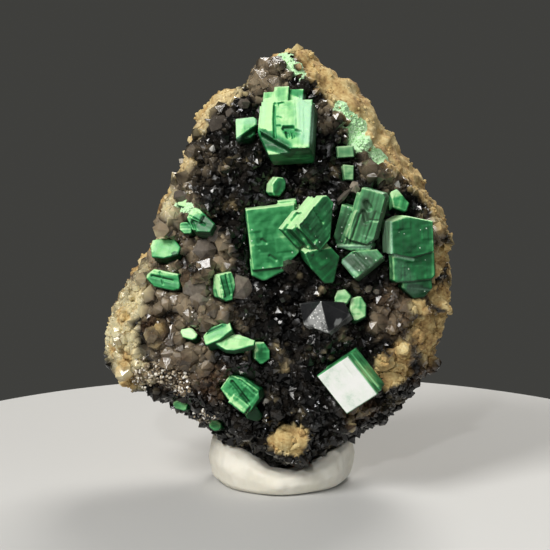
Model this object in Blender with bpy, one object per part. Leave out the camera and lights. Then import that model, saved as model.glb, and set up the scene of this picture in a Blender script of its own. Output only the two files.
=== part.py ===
"""Torbernite on smoky quartz: green square tablets on a dark druse over tan
host rock, the whole specimen standing in a foot of white putty.

Lengths are in millimetres until an object is made. +X is to the right, the
crystals face -Y, +Z is up, and the origin is the middle of the putty's
underside."""

import math
import random

import bmesh
import bpy
from mathutils import Matrix, Vector, noise
from mathutils.bvhtree import BVHTree

MM = 0.001
# Faces that turn less than this are one face, in radians
FLAT_ANGLE = 0.005
# Points closer than this are one point, in metres
MERGE = 0.000001
# A loose crumb has less than this share of its body's area
CRUMB = 0.02

# The rock: its reach, and the grid of its loft
ROCK_BOTTOM = 1.4
ROCK_TOP = 31.0
ROCK_RINGS = 25
ROCK_SIDES = 34
SIDE_ROUNDNESS = 0.9
FRONT_ROUNDNESS = 0.8
LEAST_REACH = 0.3
RELIEF = 0.7
RELIEF_SCALE = 0.34
GRAIN = 0.32
GRAIN_SCALE = 0.95
SIDE_ROUGHNESS = 0.5

# The rock's left and right edges seen from the front, as (height, x)
LEFT_EDGE = [
    (31.0, 1.2), (30.5, -1.4), (28.6, -2.3), (27.4, -4.7), (25.5, -6.4),
    (24.1, -6.5), (22.4, -7.2), (21.2, -7.5), (20.3, -8.1), (18.9, -8.7),
    (17.9, -8.4), (17.0, -9.2), (16.3, -9.5), (15.8, -10.3), (14.5, -10.8),
    (13.3, -11.3), (12.3, -12.1), (10.8, -12.4), (8.7, -12.4), (7.4, -10.7),
    (6.1, -7.9), (4.1, -5.3), (2.9, -3.2), (1.4, -1.0),
]
RIGHT_EDGE = [
    (31.0, 2.0), (29.6, 3.0), (28.8, 4.9), (27.4, 5.9), (24.1, 8.2),
    (20.1, 10.9), (18.5, 12.0), (17.0, 11.7), (13.9, 11.9), (10.7, 11.3),
    (8.7, 10.5), (6.7, 9.4), (4.7, 7.3), (3.5, 5.0), (2.25, 3.2), (1.4, 1.2),
]

# How far the rock reaches to the front, to the back and at its edges, as (height, y)
FRONT_REACH = [
    (31.0, 0.8), (30.5, -0.6), (27.0, -3.4), (22.0, -5.0), (16.0, -6.0),
    (10.0, -6.0), (6.0, -5.2), (3.0, -3.5), (1.4, -2.0),
]
BACK_REACH = [
    (31.0, 2.6), (30.5, 3.6), (27.0, 4.6), (22.0, 5.6), (16.0, 6.4),
    (10.0, 6.2), (6.0, 4.8), (3.0, 2.8), (1.4, 1.2),
]
EDGE_REACH = [(31.0, 1.8), (24.0, 1.6), (12.0, 0.6), (1.4, 0.0)]

# Swellings and hollows of the front and of the back, as (x, height, radius, rise)
FRONT_LUMPS = [
    (-6.5, 20.1, 1.8, 1.5), (-8.3, 17.8, 1.3, 1.1), (-8.7, 15.2, 1.3, 1.1),
    (-10.8, 11.0, 2.4, 1.2), (-4.7, 8.8, 2.0, 0.9), (9.2, 11.7, 2.6, 1.0),
    (8.5, 8.8, 2.0, 0.8), (-0.9, 29.6, 1.1, 0.9), (0.3, 13.8, 2.2, -0.9),
    (1.4, 22.5, 2.0, -0.7), (-4.5, 13.0, 1.6, 0.6), (-3.6, 24.0, 1.5, 0.6),
    (-3.2, 10.9, 1.4, 0.9), (4.8, 8.6, 1.5, 1.5), (2.4, 18.4, 1.8, 0.9),
    (0.3, 25.6, 1.6, 0.6), (9.2, 17.8, 2.0, 0.8),
]
BACK_LUMPS = [
    (-4.0, 18.0, 3.2, 1.0), (4.5, 21.0, 2.8, 0.9), (3.0, 11.0, 3.4, 1.1),
    (-6.5, 10.0, 2.4, 0.8), (0.5, 26.5, 1.8, 0.6), (7.5, 14.0, 1.8, -0.7),
]

# The druse ends along this line, as (height, x); the bare rim beyond lies back
DRUSE_EDGE = [
    (31.2, 0.4), (29.7, 1.4), (28.1, 2.9), (26.7, 4.6), (25.2, 5.2),
    (23.2, 7.4), (20.9, 9.9), (18.4, 11.4), (16.0, 14.0),
]
RIM_SETBACK = 1.3
RIM_SLOPE = 0.9

# The foot of putty
PUTTY_WIDTH = 10.5
PUTTY_DEPTH = 10.2
PUTTY_SIDES = 36
PUTTY_GAP = 0.18
# Outline of the putty, as (share of its width, share of its lip's height)
PUTTY_PROFILE = [(0.86, 0.0), (0.95, 0.12), (1.0, 0.5), (0.97, 0.82), (0.86, 1.0), (0.55, 0.92)]
# Soft dents of its outline, as (count round it, depth, start)
PUTTY_DENTS = [(3, 0.02, 0.6), (7, 0.012, 0.0)]
# Height of the putty's lip, as (degrees round from +X towards +Y, height)
PUTTY_LIP = [
    (-180, 3.7), (-150, 3.6), (-125, 2.9), (-105, 1.9), (-90, 1.6), (-65, 1.8),
    (-45, 2.3), (-20, 3.3), (0, 3.8), (40, 3.6), (90, 3.2), (140, 3.6), (180, 3.7),
]

# Quartz points: how many, and how they stand on the rock
POINT_COUNT = 100
POINT_SEED = 8
POINT_SINK = 0.55
POINT_LEAN = 0.42
POINT_RISE = 0.2
POINT_LOWEST = 4.4
POINT_SPREAD = (0.75, 1.2)
POINT_BODY = (0.1, 0.4)
POINT_TIP = (0.5, 0.75)
POINT_SHIFT = 0.15
POINT_CROWDING = 0.7
POINT_SPILL = 0.25
# Points that face sideways are smaller; none grows on faces that look back
SIDE_FACING = -0.35
SIDE_SHARE = 0.55
BACK_FACING = 0.25
# Where the points are larger or smaller, as (x, height, radius, width)
POINT_SIZES = [
    (-6.5, 19.0, 3.0, 1.75), (-4.0, 15.0, 2.5, 1.55), (-1.0, 28.5, 2.0, 1.15),
    (0.5, 22.0, 3.0, 1.45), (-10.5, 11.0, 3.0, 1.15), (9.0, 11.0, 3.0, 1.1),
    (9.5, 21.0, 1.8, 0.95), (0.5, 12.0, 4.0, 1.45), (-4.0, 25.0, 2.5, 1.5),
]
# Nothing of a quartz point stands in front of a green crystal, seen from here
SIGHT = (0.0, 0.985, -0.174)
SIGHT_DEPTH = 14.0
# The one great quartz pyramid, and the tan lump at the foot
PYRAMID_AT = (3.25, -5.5, 12.0)
PYRAMID_AXIS = (-0.12, -0.62, 0.78)
PYRAMID_WIDTH = 3.7
PYRAMID_BODY = 0.7
PYRAMID_TIP = 2.1
PYRAMID_SPIN = 20.0
LUMP_AT = (0.7, -4.3, 4.2)
LUMP_SIZE = (1.7, 1.1, 1.35)
LUMP_ROUGHNESS = 0.22
LUMP_SCALE = 1.7

# Torbernite. A frame is one crystal lattice: (x, y, height) of its middle in
# millimetres, then yaw, pitch and roll of its flat face in degrees. A block of
# the frame is (across, up, face) of its face's middle, its width, height and
# thickness, and how much is cut off its corners: low left, low right, high
# right, high left, each one length or (across, up).
BEVEL = 0.12
SOCKET_GAP = 0.13
SQUARE = (0, 0, 0, 0)
CRYSTALS = {
    "torbernite_crown": [
        ((0.45, -6.0, 26.5), (-14, 38, 5), [
            (-0.2, 0.02, 0.0, 3.6, 3.9, 0.9, ((2.2, 1.5), 0, 0, 0)),
            (-0.3, 0.02, -0.6, 3.88, 3.96, 1.5, ((0.9, 1.8), 0.1, 0, 0)),
            (-1.65, 2.1, -0.45, 0.75, 1.9, 1.5, SQUARE),
            (-0.72, 2.25, -0.38, 1.12, 2.3, 1.6, SQUARE),
            (0.28, 2.3, -0.75, 1.0, 2.1, 1.2, SQUARE),
        ]),
    ],
    "torbernite_crown_side": [
        ((-2.42, -4.95, 26.1), (-10, 36, 8), [
            (0.02, 0.1, 0.0, 1.5, 1.6, 0.7, (0, (1.3, 0.9), 0.2, 0)),
            (-0.12, 0.15, -0.5, 1.32, 1.3, 0.9, (0, 0.3, 0, 0)),
        ]),
    ],
    "torbernite_stray": [
        ((-0.15, -5.6, 22.15), (20, 8, -8), [
            (0.0, 0.0, 0.0, 1.05, 1.35, 1.3, (0.25, (0.4, 0.55), 0.25, (0.3, 0.5))),
        ]),
    ],
    "torbernite_centre": [
        ((-0.7, -6.6, 18.6), (4, 4, 6), [
            (0.2, 0.18, 0.0, 3.4, 4.3, 1.4, (0.1, (1.1, 0.9), 0, 0)),
            (-0.42, -2.0, -0.25, 2.3, 1.5, 1.2, ((0.7, 0.45), (1.4, 0.5), 0, 0)),
            (1.42, 2.05, -0.35, 1.3, 1.1, 1.0, SQUARE),
        ]),
        ((2.7, -8.1, 20.1), (30, 4, 44), [
            (0.07, -0.08, 0.0, 3.06, 2.55, 0.75, (0, (1.9, 1.5), 0.3, 0.2)),
            (-0.2, -0.1, -0.65, 3.0, 2.4, 0.9, (0, (1.5, 1.2), 0.9, 0)),
            (-1.1, 0.3, -1.4, 1.75, 2.1, 0.55, SQUARE),
            (0.35, 0.6, -0.8, 1.5, 1.5, 0.6, SQUARE),
            (-0.15, -0.05, -1.2, 1.8, 1.6, 2.4, SQUARE),
        ]),
        ((2.9, -7.5, 16.7), (16, -8, 42), [
            (0.4, 0.35, 0.0, 2.0, 3.1, 2.2, ((0.4, 0.35), (1.4, 1.1), (1.4, 1.0), (0.35, 1.2))),
        ]),
    ],
    "torbernite_book": [
        ((5.6, -7.2, 20.2), (-12, 6, -14), [
            (0.2, 0.15, 0.0, 1.8, 3.7, 1.7, (0, (0.4, 0.5), 0.25, 0)),
            (-0.75, 0.0, -0.2, 0.45, 3.2, 2.0, SQUARE),
            (-1.35, -0.75, -0.4, 0.9, 2.5, 1.8, (0.2, 0, 0, 0)),
            (-0.3, -2.0, -0.45, 2.6, 0.9, 1.6, (0.35, 0.2, 0, 0)),
        ]),
        ((5.4, -7.3, 17.1), (-8, 16, 41), [
            (0.25, 0.2, 0.0, 2.5, 1.7, 1.9, (0.15, 0, (1.4, 1.0), 0.2)),
        ]),
    ],
    "torbernite_right": [
        ((9.0, -6.0, 18.7), (22, 5, 1), [
            (0.0, 0.05, 0.0, 3.3, 2.95, 1.5, ((1.5, 0.4), (1.6, 0.3), (2.0, 0.5), (1.1, 0.3))),
            (0.27, -2.1, -0.45, 3.2, 2.0, 0.8, (0.2, 0.3, 0, 0)),
            (0.68, -3.55, -0.9, 2.3, 1.6, 0.9, (0.8, (0.7, 0.6), 0, 0)),
            (0.6, -1.2, -1.0, 1.7, 3.6, 1.6, SQUARE),
        ]),
    ],
    "torbernite_rim_upper": [
        ((4.46, -4.5, 24.5), (4, 8, 3), [
            (-0.03, -0.07, 0.0, 1.2, 0.86, 1.2, SQUARE),
        ]),
    ],
    "torbernite_rim_lower": [
        ((4.75, -5.0, 22.9), (6, 12, -4), [
            (-0.15, 0.15, 0.0, 0.8, 1.05, 1.2, ((0.18, 0.8), 0, 0, 0)),
        ]),
    ],
    "torbernite_rim_right": [
        ((8.2, -4.6, 21.0), (16, 20, -24), [
            (-0.05, 0.07, 0.0, 1.5, 1.35, 1.3, ((0.5, 0.9), 0.15, (1.1, 0.6), 0.3)),
        ]),
    ],
    "torbernite_hollow": [
        ((4.15, -6.7, 14.7), (-10, 14, 8), [
            (0.04, -0.02, 0.0, 1.18, 1.04, 1.4, (0.25, (0.3, 0.4), (0.35, 0.5), (0.27, 0.5))),
        ]),
        ((5.3, -6.7, 13.7), (6, 22, -6), [
            (-0.02, 0.17, 0.0, 1.16, 1.75, 1.4, ((0.35, 0.7), (0.6, 0.35), (0.4, 0.6), (0.5, 0.2))),
        ]),
    ],
    "torbernite_pearly": [
        ((4.37, -8.2, 8.8), (-20, -13, 36), [
            (0.05, -0.05, 0.0, 2.8, 3.4, 0.8, SQUARE),
            (0.3, -0.12, -0.7, 2.8, 3.3, 1.1, SQUARE),
            (-0.5, -0.15, -1.6, 1.8, 2.1, 1.9, SQUARE),
        ]),
    ],
    "torbernite_shoulder_cap": [
        ((-6.8, -2.6, 20.9), (-24, 44, -12), [
            (0.2, -0.22, 0.0, 1.5, 0.87, 1.0, (0.4, 0.35, (0.35, 0.25), (0.4, 0.3))),
        ]),
    ],
    "torbernite_shoulder": [
        ((-5.45, -5.7, 19.8), (-16, 30, -20), [
            (-0.1, -0.04, 0.0, 2.15, 1.6, 1.2, ((0.8, 0.65), (0.9, 0.3), (1.6, 0.55), 0.25)),
            (-0.4, 0.1, 0.22, 0.8, 0.6, 1.0, SQUARE),
        ]),
        ((-6.6, -5.0, 19.1), (-18, 16, 6), [
            (0.0, 0.1, 0.0, 0.95, 0.9, 1.3, (0.35, 0.12, 0.35, 0.12)),
        ]),
    ],
    "torbernite_left_knob": [
        ((-8.1, -3.9, 17.6), (-20, 34, -4), [
            (0.0, 0.0, 0.0, 2.25, 1.53, 1.1, ((0.35, 0.8), (1.0, 0.45), (0.6, 0.5), (0.75, 0.25))),
        ]),
    ],
    "torbernite_left": [
        ((-8.3, -5.2, 15.4), (-18, 12, -8), [
            (0.12, 0.22, 0.0, 2.6, 1.25, 1.1, ((0.7, 0.5), (0.45, 0.2), (0.3, 0.8), (0.4, 0.5))),
        ]),
    ],
    "torbernite_inner_left": [
        ((-3.95, -6.8, 15.4), (22, 10, 8), [
            (0.27, -0.06, 0.0, 1.34, 1.98, 1.3, (0.4, (0.45, 1.0), (0.12, 0.6), (0.25, 1.0))),
        ]),
    ],
    "torbernite_leaf": [
        ((-3.3, -7.4, 11.6), (-8, 52, -4), [
            (-0.05, 0.12, 0.0, 3.05, 1.45, 0.5, ((1.2, 0.65), (1.3, 0.6), (1.2, 0.4), (1.1, 0.5))),
            (0.0, 0.35, -0.4, 1.3, 0.7, 0.7, SQUARE),
        ]),
        ((-4.5, -7.0, 12.3), (-20, 38, 28), [
            (0.1, -0.1, 0.0, 2.1, 1.25, 1.1, (0.1, (1.1, 0.4), (0.5, 0.2), (0.65, 0.45))),
        ]),
    ],
    "torbernite_bead": [
        ((-1.3, -6.8, 10.8), (10, 8, 0), [
            (0.0, -0.05, 0.0, 1.13, 1.57, 1.3, (0.42, (0.55, 0.35), (0.4, 0.6), 0.12)),
        ]),
    ],
    "torbernite_low": [
        ((-2.95, -6.9, 7.8), (-12, 6, -34), [
            (0.0, 0.12, 0.0, 2.7, 2.05, 1.6, ((1.6, 0.5), (0.7, 0.4), 0.4, (1.0, 0.3))),
            (0.4, -0.45, 0.2, 1.4, 0.7, 1.2, SQUARE),
        ]),
        ((-1.95, -6.3, 6.3), (20, -12, -20), [
            (0.15, 0.07, 0.0, 1.2, 1.0, 1.3, (0.15, 0.2, (0.6, 0.45), 0)),
        ]),
    ],
    "torbernite_foot": [
        ((-4.9, -3.8, 4.9), (-16, 10, 12), [
            (0.25, -0.02, 0.0, 0.95, 0.85, 1.2, (0.35, 0.2, 0.35, 0.25)),
        ]),
    ],
    "torbernite_edge": [
        ((-7.1, -4.0, 6.5), (-20, 8, -10), [
            (0.0, -0.07, 0.0, 1.15, 0.75, 1.4, (0.25, 0.15, (0.4, 0.25), (0.4, 0.25))),
        ]),
    ],
    "torbernite_flake": [
        ((-6.35, -6.2, 12.0), (-14, 30, -14), [
            (-0.05, 0.05, 0.0, 1.25, 0.8, 1.1, (0.3, 0.2, (0.5, 0.3), (0.5, 0.3))),
        ]),
    ],
}


def along(line, height):
    """Value of a line of (height, value) points at one height."""
    points = sorted(line)
    if height <= points[0][0]:
        return points[0][1]
    for (low, a), (high, b) in zip(points, points[1:]):
        if height <= high:
            return a + (b - a) * (height - low) / (high - low)
    return points[-1][1]


def smooth_step(value):
    """Ease from 0 to 1 as the value goes from 0 to 1."""
    value = min(1.0, max(0.0, value))
    return value * value * (3.0 - 2.0 * value)


def swelling(lumps, x, height):
    """Sum of the round lumps at one place."""
    total = 0.0
    for at_x, at_z, radius, rise in lumps:
        away = ((x - at_x) ** 2 + (height - at_z) ** 2) / radius ** 2
        total += rise * math.exp(-away)
    return total


def rock_point(height, angle, grow=0.0):
    """Point of the rock's surface at one height and one angle round it."""
    left = along(LEFT_EDGE, height) - grow
    right = along(RIGHT_EDGE, height) + grow
    edge = along(EDGE_REACH, height)
    across = math.cos(angle)
    facing = math.sin(angle)
    outward = math.copysign(abs(across) ** SIDE_ROUNDNESS, across)
    inward = abs(facing) ** FRONT_ROUNDNESS
    x = (left + right) / 2 + (right - left) / 2 * outward
    if facing < 0:
        reach = edge - along(FRONT_REACH, height) + grow
        reach -= RIM_SETBACK * smooth_step((x - along(DRUSE_EDGE, height)) / RIM_SLOPE)
        y = edge - (max(reach, LEAST_REACH) + swelling(FRONT_LUMPS, x, height)) * inward
    else:
        reach = along(BACK_REACH, height) - edge + grow
        y = edge + (reach + swelling(BACK_LUMPS, x, height)) * inward
    place = Vector((x, y, height))
    rough = RELIEF * noise.noise(place * RELIEF_SCALE) + GRAIN * noise.noise(place * GRAIN_SCALE)
    y += math.copysign(rough * inward, facing)
    x += math.copysign(rough * SIDE_ROUGHNESS * (1.0 - inward), across)
    return Vector((x, y, height))


def rock_mesh(grow=0.0):
    """Loft of the rock, in millimetres, with every face pointing out."""
    bm = bmesh.new()
    low = ROCK_BOTTOM - grow
    high = ROCK_TOP + grow
    angles = [2 * math.pi * (side + 0.5) / ROCK_SIDES for side in range(ROCK_SIDES)]
    rings = []
    for ring in range(ROCK_RINGS):
        height = low + (high - low) * ring / (ROCK_RINGS - 1)
        rings.append([rock_point(height, angle, grow) for angle in angles])
    add_rings(bm, rings)
    bmesh.ops.triangulate(bm, faces=bm.faces[:])
    bm.normal_update()
    return bm


def add_rings(bm, rings):
    """Closed skin over rings of points that have the same count."""
    loops = [[bm.verts.new(point) for point in ring] for ring in rings]
    count = len(loops[0])
    for lower, upper in zip(loops, loops[1:]):
        for side in range(count):
            after = (side + 1) % count
            bm.faces.new((lower[side], lower[after], upper[after], upper[side]))
    bm.faces.new(loops[0][::-1])
    bm.faces.new(loops[-1])


def cut_square(width, height, cuts, inset):
    """Outline of a rectangle with its corners cut, anticlockwise from the low left,
    brought in from every side by the inset."""
    half_x = width / 2 - inset
    half_y = height / 2 - inset
    corners = [
        (-half_x, -half_y, (0, 1), (1, 0)),
        (half_x, -half_y, (-1, 0), (0, 1)),
        (half_x, half_y, (0, -1), (-1, 0)),
        (-half_x, half_y, (1, 0), (0, -1)),
    ]
    outline = []
    for (x, y, before, after), cut in zip(corners, cuts):
        if not cut:
            outline.append((x, y))
            continue
        cut_x, cut_y = cut if isinstance(cut, tuple) else (cut, cut)
        slant = math.hypot(cut_x, cut_y)
        left_x = cut_x - inset * (cut_x + cut_y - slant) / cut_y
        left_y = cut_y - inset * (cut_x + cut_y - slant) / cut_x
        for step_x, step_y in (before, after):
            outline.append((x + step_x * left_x, y + step_y * left_y))
    return outline


def frame_matrix(at, turn):
    """Place of a crystal lattice from its middle and its yaw, pitch and roll."""
    yaw, pitch, roll = (math.radians(angle) for angle in turn)
    spin = Matrix.Rotation(yaw, 4, "Z") @ Matrix.Rotation(math.pi / 2 - pitch, 4, "X")
    return Matrix.Translation(at) @ spin @ Matrix.Rotation(roll, 4, "Z")


def add_block(bm, place, block, grow=0.0):
    """One square tablet with a narrow bevel round its face, or its grown space."""
    across, up, face, width, height, thick, cuts = block
    levels = [(face - thick - grow, -grow), (face + grow, -grow)]
    if not grow:
        levels = [(face - thick, 0.0), (face - BEVEL, 0.0), (face, BEVEL)]
    rings = []
    for level, inset in levels:
        outline = cut_square(width, height, cuts, inset)
        rings.append([place @ Vector((across + x, up + y, level)) for x, y in outline])
    add_rings(bm, rings)


def crystal_blocks(grow):
    """Every torbernite tablet in one mesh, each grown by the same length."""
    bm = bmesh.new()
    for frames in CRYSTALS.values():
        for at, turn, blocks in frames:
            for block in blocks:
                add_block(bm, frame_matrix(at, turn), block, grow)
    return bm


def make_object(name, bm, material=None):
    """Object of one mesh of triangles, brought from millimetres to metres."""
    bmesh.ops.triangulate(bm, faces=bm.faces[:])
    bmesh.ops.scale(bm, vec=(MM, MM, MM), verts=bm.verts[:])
    mesh = bpy.data.meshes.new(name)
    bm.to_mesh(mesh)
    bm.free()
    thing = bpy.data.objects.new(name, mesh)
    bpy.context.scene.collection.objects.link(thing)
    if material:
        mesh.materials.append(material)
    return thing


def combine(thing, name, bm, operation):
    """Boolean of an object with a hidden guide, written into the object's mesh."""
    helper = make_object(name, bm)
    helper.hide_render = True
    helper.display_type = "WIRE"
    modifier = thing.modifiers.new(name, "BOOLEAN")
    modifier.operation = operation
    modifier.solver = "EXACT"
    modifier.use_self = True
    modifier.object = helper
    graph = bpy.context.evaluated_depsgraph_get()
    mesh = bpy.data.meshes.new_from_object(thing.evaluated_get(graph))
    thing.modifiers.clear()
    thing.data = mesh
    bpy.data.objects.remove(helper, do_unlink=True)


def keep_largest(thing):
    """Drop loose crumbs that a cut leaves, keep the largest body, and join its
    faces that lie in one plane."""
    bm = bmesh.new()
    bm.from_mesh(thing.data)
    seen = set()
    bodies = []
    for start in bm.faces:
        if start in seen:
            continue
        body = []
        todo = [start]
        seen.add(start)
        while todo:
            face = todo.pop()
            body.append(face)
            for edge in face.edges:
                for other in edge.link_faces:
                    if other not in seen:
                        seen.add(other)
                        todo.append(other)
        bodies.append(body)
    areas = [sum(face.calc_area() for face in body) for body in bodies]
    largest = max(areas)
    for body, area in zip(bodies, areas):
        if area > largest * CRUMB and area < largest:
            raise RuntimeError(thing.name + " is not one body")
        if area < largest:
            bmesh.ops.delete(bm, geom=body, context="FACES")
    bmesh.ops.delete(bm, geom=[v for v in bm.verts if not v.link_faces], context="VERTS")
    bmesh.ops.remove_doubles(bm, verts=bm.verts[:], dist=MERGE)
    bmesh.ops.dissolve_limit(bm, angle_limit=FLAT_ANGLE, verts=bm.verts[:], edges=bm.edges[:])
    bmesh.ops.triangulate(bm, faces=bm.faces[:])
    bm.to_mesh(thing.data)
    bm.free()


def add_point(bm, foot, axis, width, body, tip, spin, lean=(0.0, 0.0)):
    """Six-sided quartz point that grows from its foot along its axis."""
    place = Matrix.Translation(foot) @ axis.to_track_quat("Z", "Y").to_matrix().to_4x4()
    place = place @ Matrix.Rotation(spin, 4, "Z")
    turns = [math.tau * side / 6 for side in range(6)]
    sides = [Vector((math.cos(turn), math.sin(turn), 0)) * width / 2 for turn in turns]
    low = [bm.verts.new(place @ (side - Vector((0, 0, POINT_SINK)))) for side in sides]
    high = [bm.verts.new(place @ (side + Vector((0, 0, body)))) for side in sides]
    apex = bm.verts.new(place @ Vector((lean[0], lean[1], body + tip)))
    for side in range(6):
        after = (side + 1) % 6
        bm.faces.new((low[side], low[after], high[after], high[side]))
        bm.faces.new((high[side], high[after], apex))
    bm.faces.new(low[::-1])


def point_width(x, height):
    """Width of the quartz points near one place."""
    best = min(
        POINT_SIZES,
        key=lambda spot: ((x - spot[0]) ** 2 + (height - spot[1]) ** 2) / spot[2] ** 2)
    return best[3]


def spot_on(face, chance):
    """Place on one triangle, every part of it as likely."""
    a, b, c = (vert.co for vert in face.verts)
    u = chance.random()
    v = chance.random()
    if u + v > 1:
        u, v = 1 - u, 1 - v
    return a + (b - a) * u + (c - a) * v


def hides_crystal(tree, foot, axis, width, length):
    """Whether a quartz point would stand in front of a green crystal."""
    sight = Vector(SIGHT)
    side = axis.cross(sight).normalized() * width / 2
    tip = foot + axis * length
    for place in (foot, tip, foot + side, foot - side, tip + side / 2, tip - side / 2):
        if tree.ray_cast(place, sight, SIGHT_DEPTH)[0]:
            return True
    return False


def druse_mesh(rock):
    """Quartz points spread over the front of the rock, apart from the bare rim."""
    chance = random.Random(POINT_SEED)
    green = crystal_blocks(SOCKET_GAP)
    tree = BVHTree.FromBMesh(green)
    green.free()
    front = [face for face in rock.faces if face.normal.y < BACK_FACING]
    areas = [face.calc_area() for face in front]
    bm = bmesh.new()
    placed = []
    for face in chance.choices(front, areas, k=POINT_COUNT * 30):
        foot = spot_on(face, chance)
        size = point_width(foot.x, foot.z) * chance.uniform(*POINT_SPREAD)
        if face.normal.y > SIDE_FACING:
            size *= SIDE_SHARE
        lean = Vector([chance.uniform(-1, 1) for _ in range(3)]) * POINT_LEAN
        axis = (face.normal + lean + Vector((0, 0, POINT_RISE))).normalized()
        body = size * chance.uniform(*POINT_BODY)
        tip = size * chance.uniform(*POINT_TIP)
        shift = [chance.uniform(-POINT_SHIFT, POINT_SHIFT) * size for _ in range(2)]
        spin = chance.uniform(0, math.pi)
        if foot.x > along(DRUSE_EDGE, foot.z) or foot.z + axis.z < POINT_LOWEST:
            continue
        tip_at = foot + axis * (body + tip)
        if tip_at.x < along(LEFT_EDGE, tip_at.z) - POINT_SPILL:
            continue
        if tip_at.x > along(RIGHT_EDGE, tip_at.z) + POINT_SPILL:
            continue
        if any((other - foot).length < POINT_CROWDING * (size + width) for other, width in placed):
            continue
        if hides_crystal(tree, foot, axis, size, body + tip):
            continue
        add_point(bm, foot, axis, size, body, tip, spin, shift)
        placed.append((foot, size))
        if len(placed) == POINT_COUNT:
            break
    add_point(
        bm, Vector(PYRAMID_AT), Vector(PYRAMID_AXIS).normalized(), PYRAMID_WIDTH,
        PYRAMID_BODY, PYRAMID_TIP, math.radians(PYRAMID_SPIN))
    return bm


def lump_mesh(grow=0.0):
    """The tan lump of rock at the specimen's foot."""
    bm = bmesh.new()
    bmesh.ops.create_icosphere(bm, subdivisions=2, radius=1.0)
    for vert in bm.verts:
        rough = 1.0 + LUMP_ROUGHNESS * noise.noise(vert.co * LUMP_SCALE)
        for axis in range(3):
            vert.co[axis] = LUMP_AT[axis] + vert.co[axis] * rough * (LUMP_SIZE[axis] + grow)
    return bm


def make_matrix(material):
    """Host rock, quartz points and foot lump as one body, with crystal sockets."""
    rock = rock_mesh()
    points = druse_mesh(rock)
    matrix = make_object("matrix", rock, material)
    combine(matrix, "points", points, "UNION")
    combine(matrix, "lump", lump_mesh(), "UNION")
    combine(matrix, "sockets", crystal_blocks(SOCKET_GAP), "DIFFERENCE")
    keep_largest(matrix)


def make_crystal(name, frames, material):
    """One torbernite crystal or group, its tablets joined in one body."""
    tablets = [(frame_matrix(at, turn), block) for at, turn, blocks in frames for block in blocks]
    first = bmesh.new()
    add_block(first, *tablets[0])
    crystal = make_object(name, first, material)
    if len(tablets) > 1:
        others = bmesh.new()
        for place, block in tablets[1:]:
            add_block(others, place, block)
        combine(crystal, "tablets", others, "UNION")
    keep_largest(crystal)


def make_putty(material):
    """Blob of putty with a flat underside, hollowed by the rock that stands in it."""
    bm = bmesh.new()
    rings = []
    for spread, share in PUTTY_PROFILE:
        ring = []
        for side in range(PUTTY_SIDES):
            angle = math.tau * side / PUTTY_SIDES
            around = (math.degrees(angle) + 180) % 360 - 180
            lip = along(PUTTY_LIP, around)
            radius = spread / 2
            for count, depth, start in PUTTY_DENTS:
                radius *= 1.0 + depth * math.sin(count * angle + start)
            x = math.cos(angle) * PUTTY_WIDTH * radius
            y = math.sin(angle) * PUTTY_DEPTH * radius
            ring.append(Vector((x, y, lip * share)))
        rings.append(ring)
    add_rings(bm, rings)
    putty = make_object("putty", bm, material)
    combine(putty, "rock_space", rock_mesh(PUTTY_GAP), "DIFFERENCE")
    combine(putty, "lump_space", lump_mesh(PUTTY_GAP), "DIFFERENCE")
    keep_largest(putty)


def make_material(name, color, roughness):
    """Plain surface of one colour."""
    material = bpy.data.materials.new(name)
    material.use_nodes = True
    shader = material.node_tree.nodes["Principled BSDF"]
    shader.inputs["Base Color"].default_value = (*color, 1.0)
    shader.inputs["Roughness"].default_value = roughness
    return material


def clear_scene():
    """Remove every object of the scene."""
    for thing in list(bpy.data.objects):
        bpy.data.objects.remove(thing, do_unlink=True)


def main():
    """Build every piece."""
    clear_scene()
    make_matrix(make_material("smoky_quartz", (0.06, 0.05, 0.045), 0.25))
    for name, frames in CRYSTALS.items():
        make_crystal(name, frames, make_material(name, (0.03, 0.30, 0.13), 0.3))
    make_putty(make_material("putty", (0.80, 0.79, 0.72), 0.75))


main()
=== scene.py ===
"""Looks of the torbernite specimen: layered green square crystals on a dark druse
of smoky quartz over tan host rock, standing in a foot of white putty.

Shapes are worked out in millimetres and brought to metres when a mesh is made.
+X is to the right, the crystals face -Y, +Z is up."""

import functools
import math
import random
import zlib

import bmesh
import bpy
import numpy as np
from mathutils import Matrix, Vector, noise
from mathutils.bvhtree import BVHTree


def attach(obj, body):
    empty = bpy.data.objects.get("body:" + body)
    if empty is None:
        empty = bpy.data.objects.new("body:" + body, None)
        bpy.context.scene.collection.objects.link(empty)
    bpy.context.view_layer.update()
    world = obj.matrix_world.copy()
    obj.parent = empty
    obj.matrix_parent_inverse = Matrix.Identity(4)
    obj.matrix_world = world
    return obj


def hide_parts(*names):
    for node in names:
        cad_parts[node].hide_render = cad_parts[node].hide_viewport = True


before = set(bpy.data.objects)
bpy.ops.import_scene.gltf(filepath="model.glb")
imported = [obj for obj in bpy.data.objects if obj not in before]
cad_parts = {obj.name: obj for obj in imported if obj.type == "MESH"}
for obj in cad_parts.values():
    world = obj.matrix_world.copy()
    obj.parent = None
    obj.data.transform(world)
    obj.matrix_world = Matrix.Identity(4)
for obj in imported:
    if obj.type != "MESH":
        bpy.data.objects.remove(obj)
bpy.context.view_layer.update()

bl_info = {
    "name": "Torbernite specimen",
    "version": (1, 0, 0),
    "blender": (4, 5, 0),
    "location": "3D view > Sidebar > Specimen",
    "description": "Dresses a torbernite specimen: green crystals, smoky druse, host rock and putty",
    "category": "Object",
}

MM = 0.001

# Camera, in millimetres and degrees, and the picture's width in pixels
CAMERA_TARGET = (-0.43, 0.0, 15.03)
CAMERA_DISTANCE = 160.0
CAMERA_ELEVATION = 10.0
CAMERA_LENS = 146.5
SENSOR = 36.0
PICTURE = 550
# What the camera sees, in metres
CLIP_START = 0.01
CLIP_END = 10.0

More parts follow.
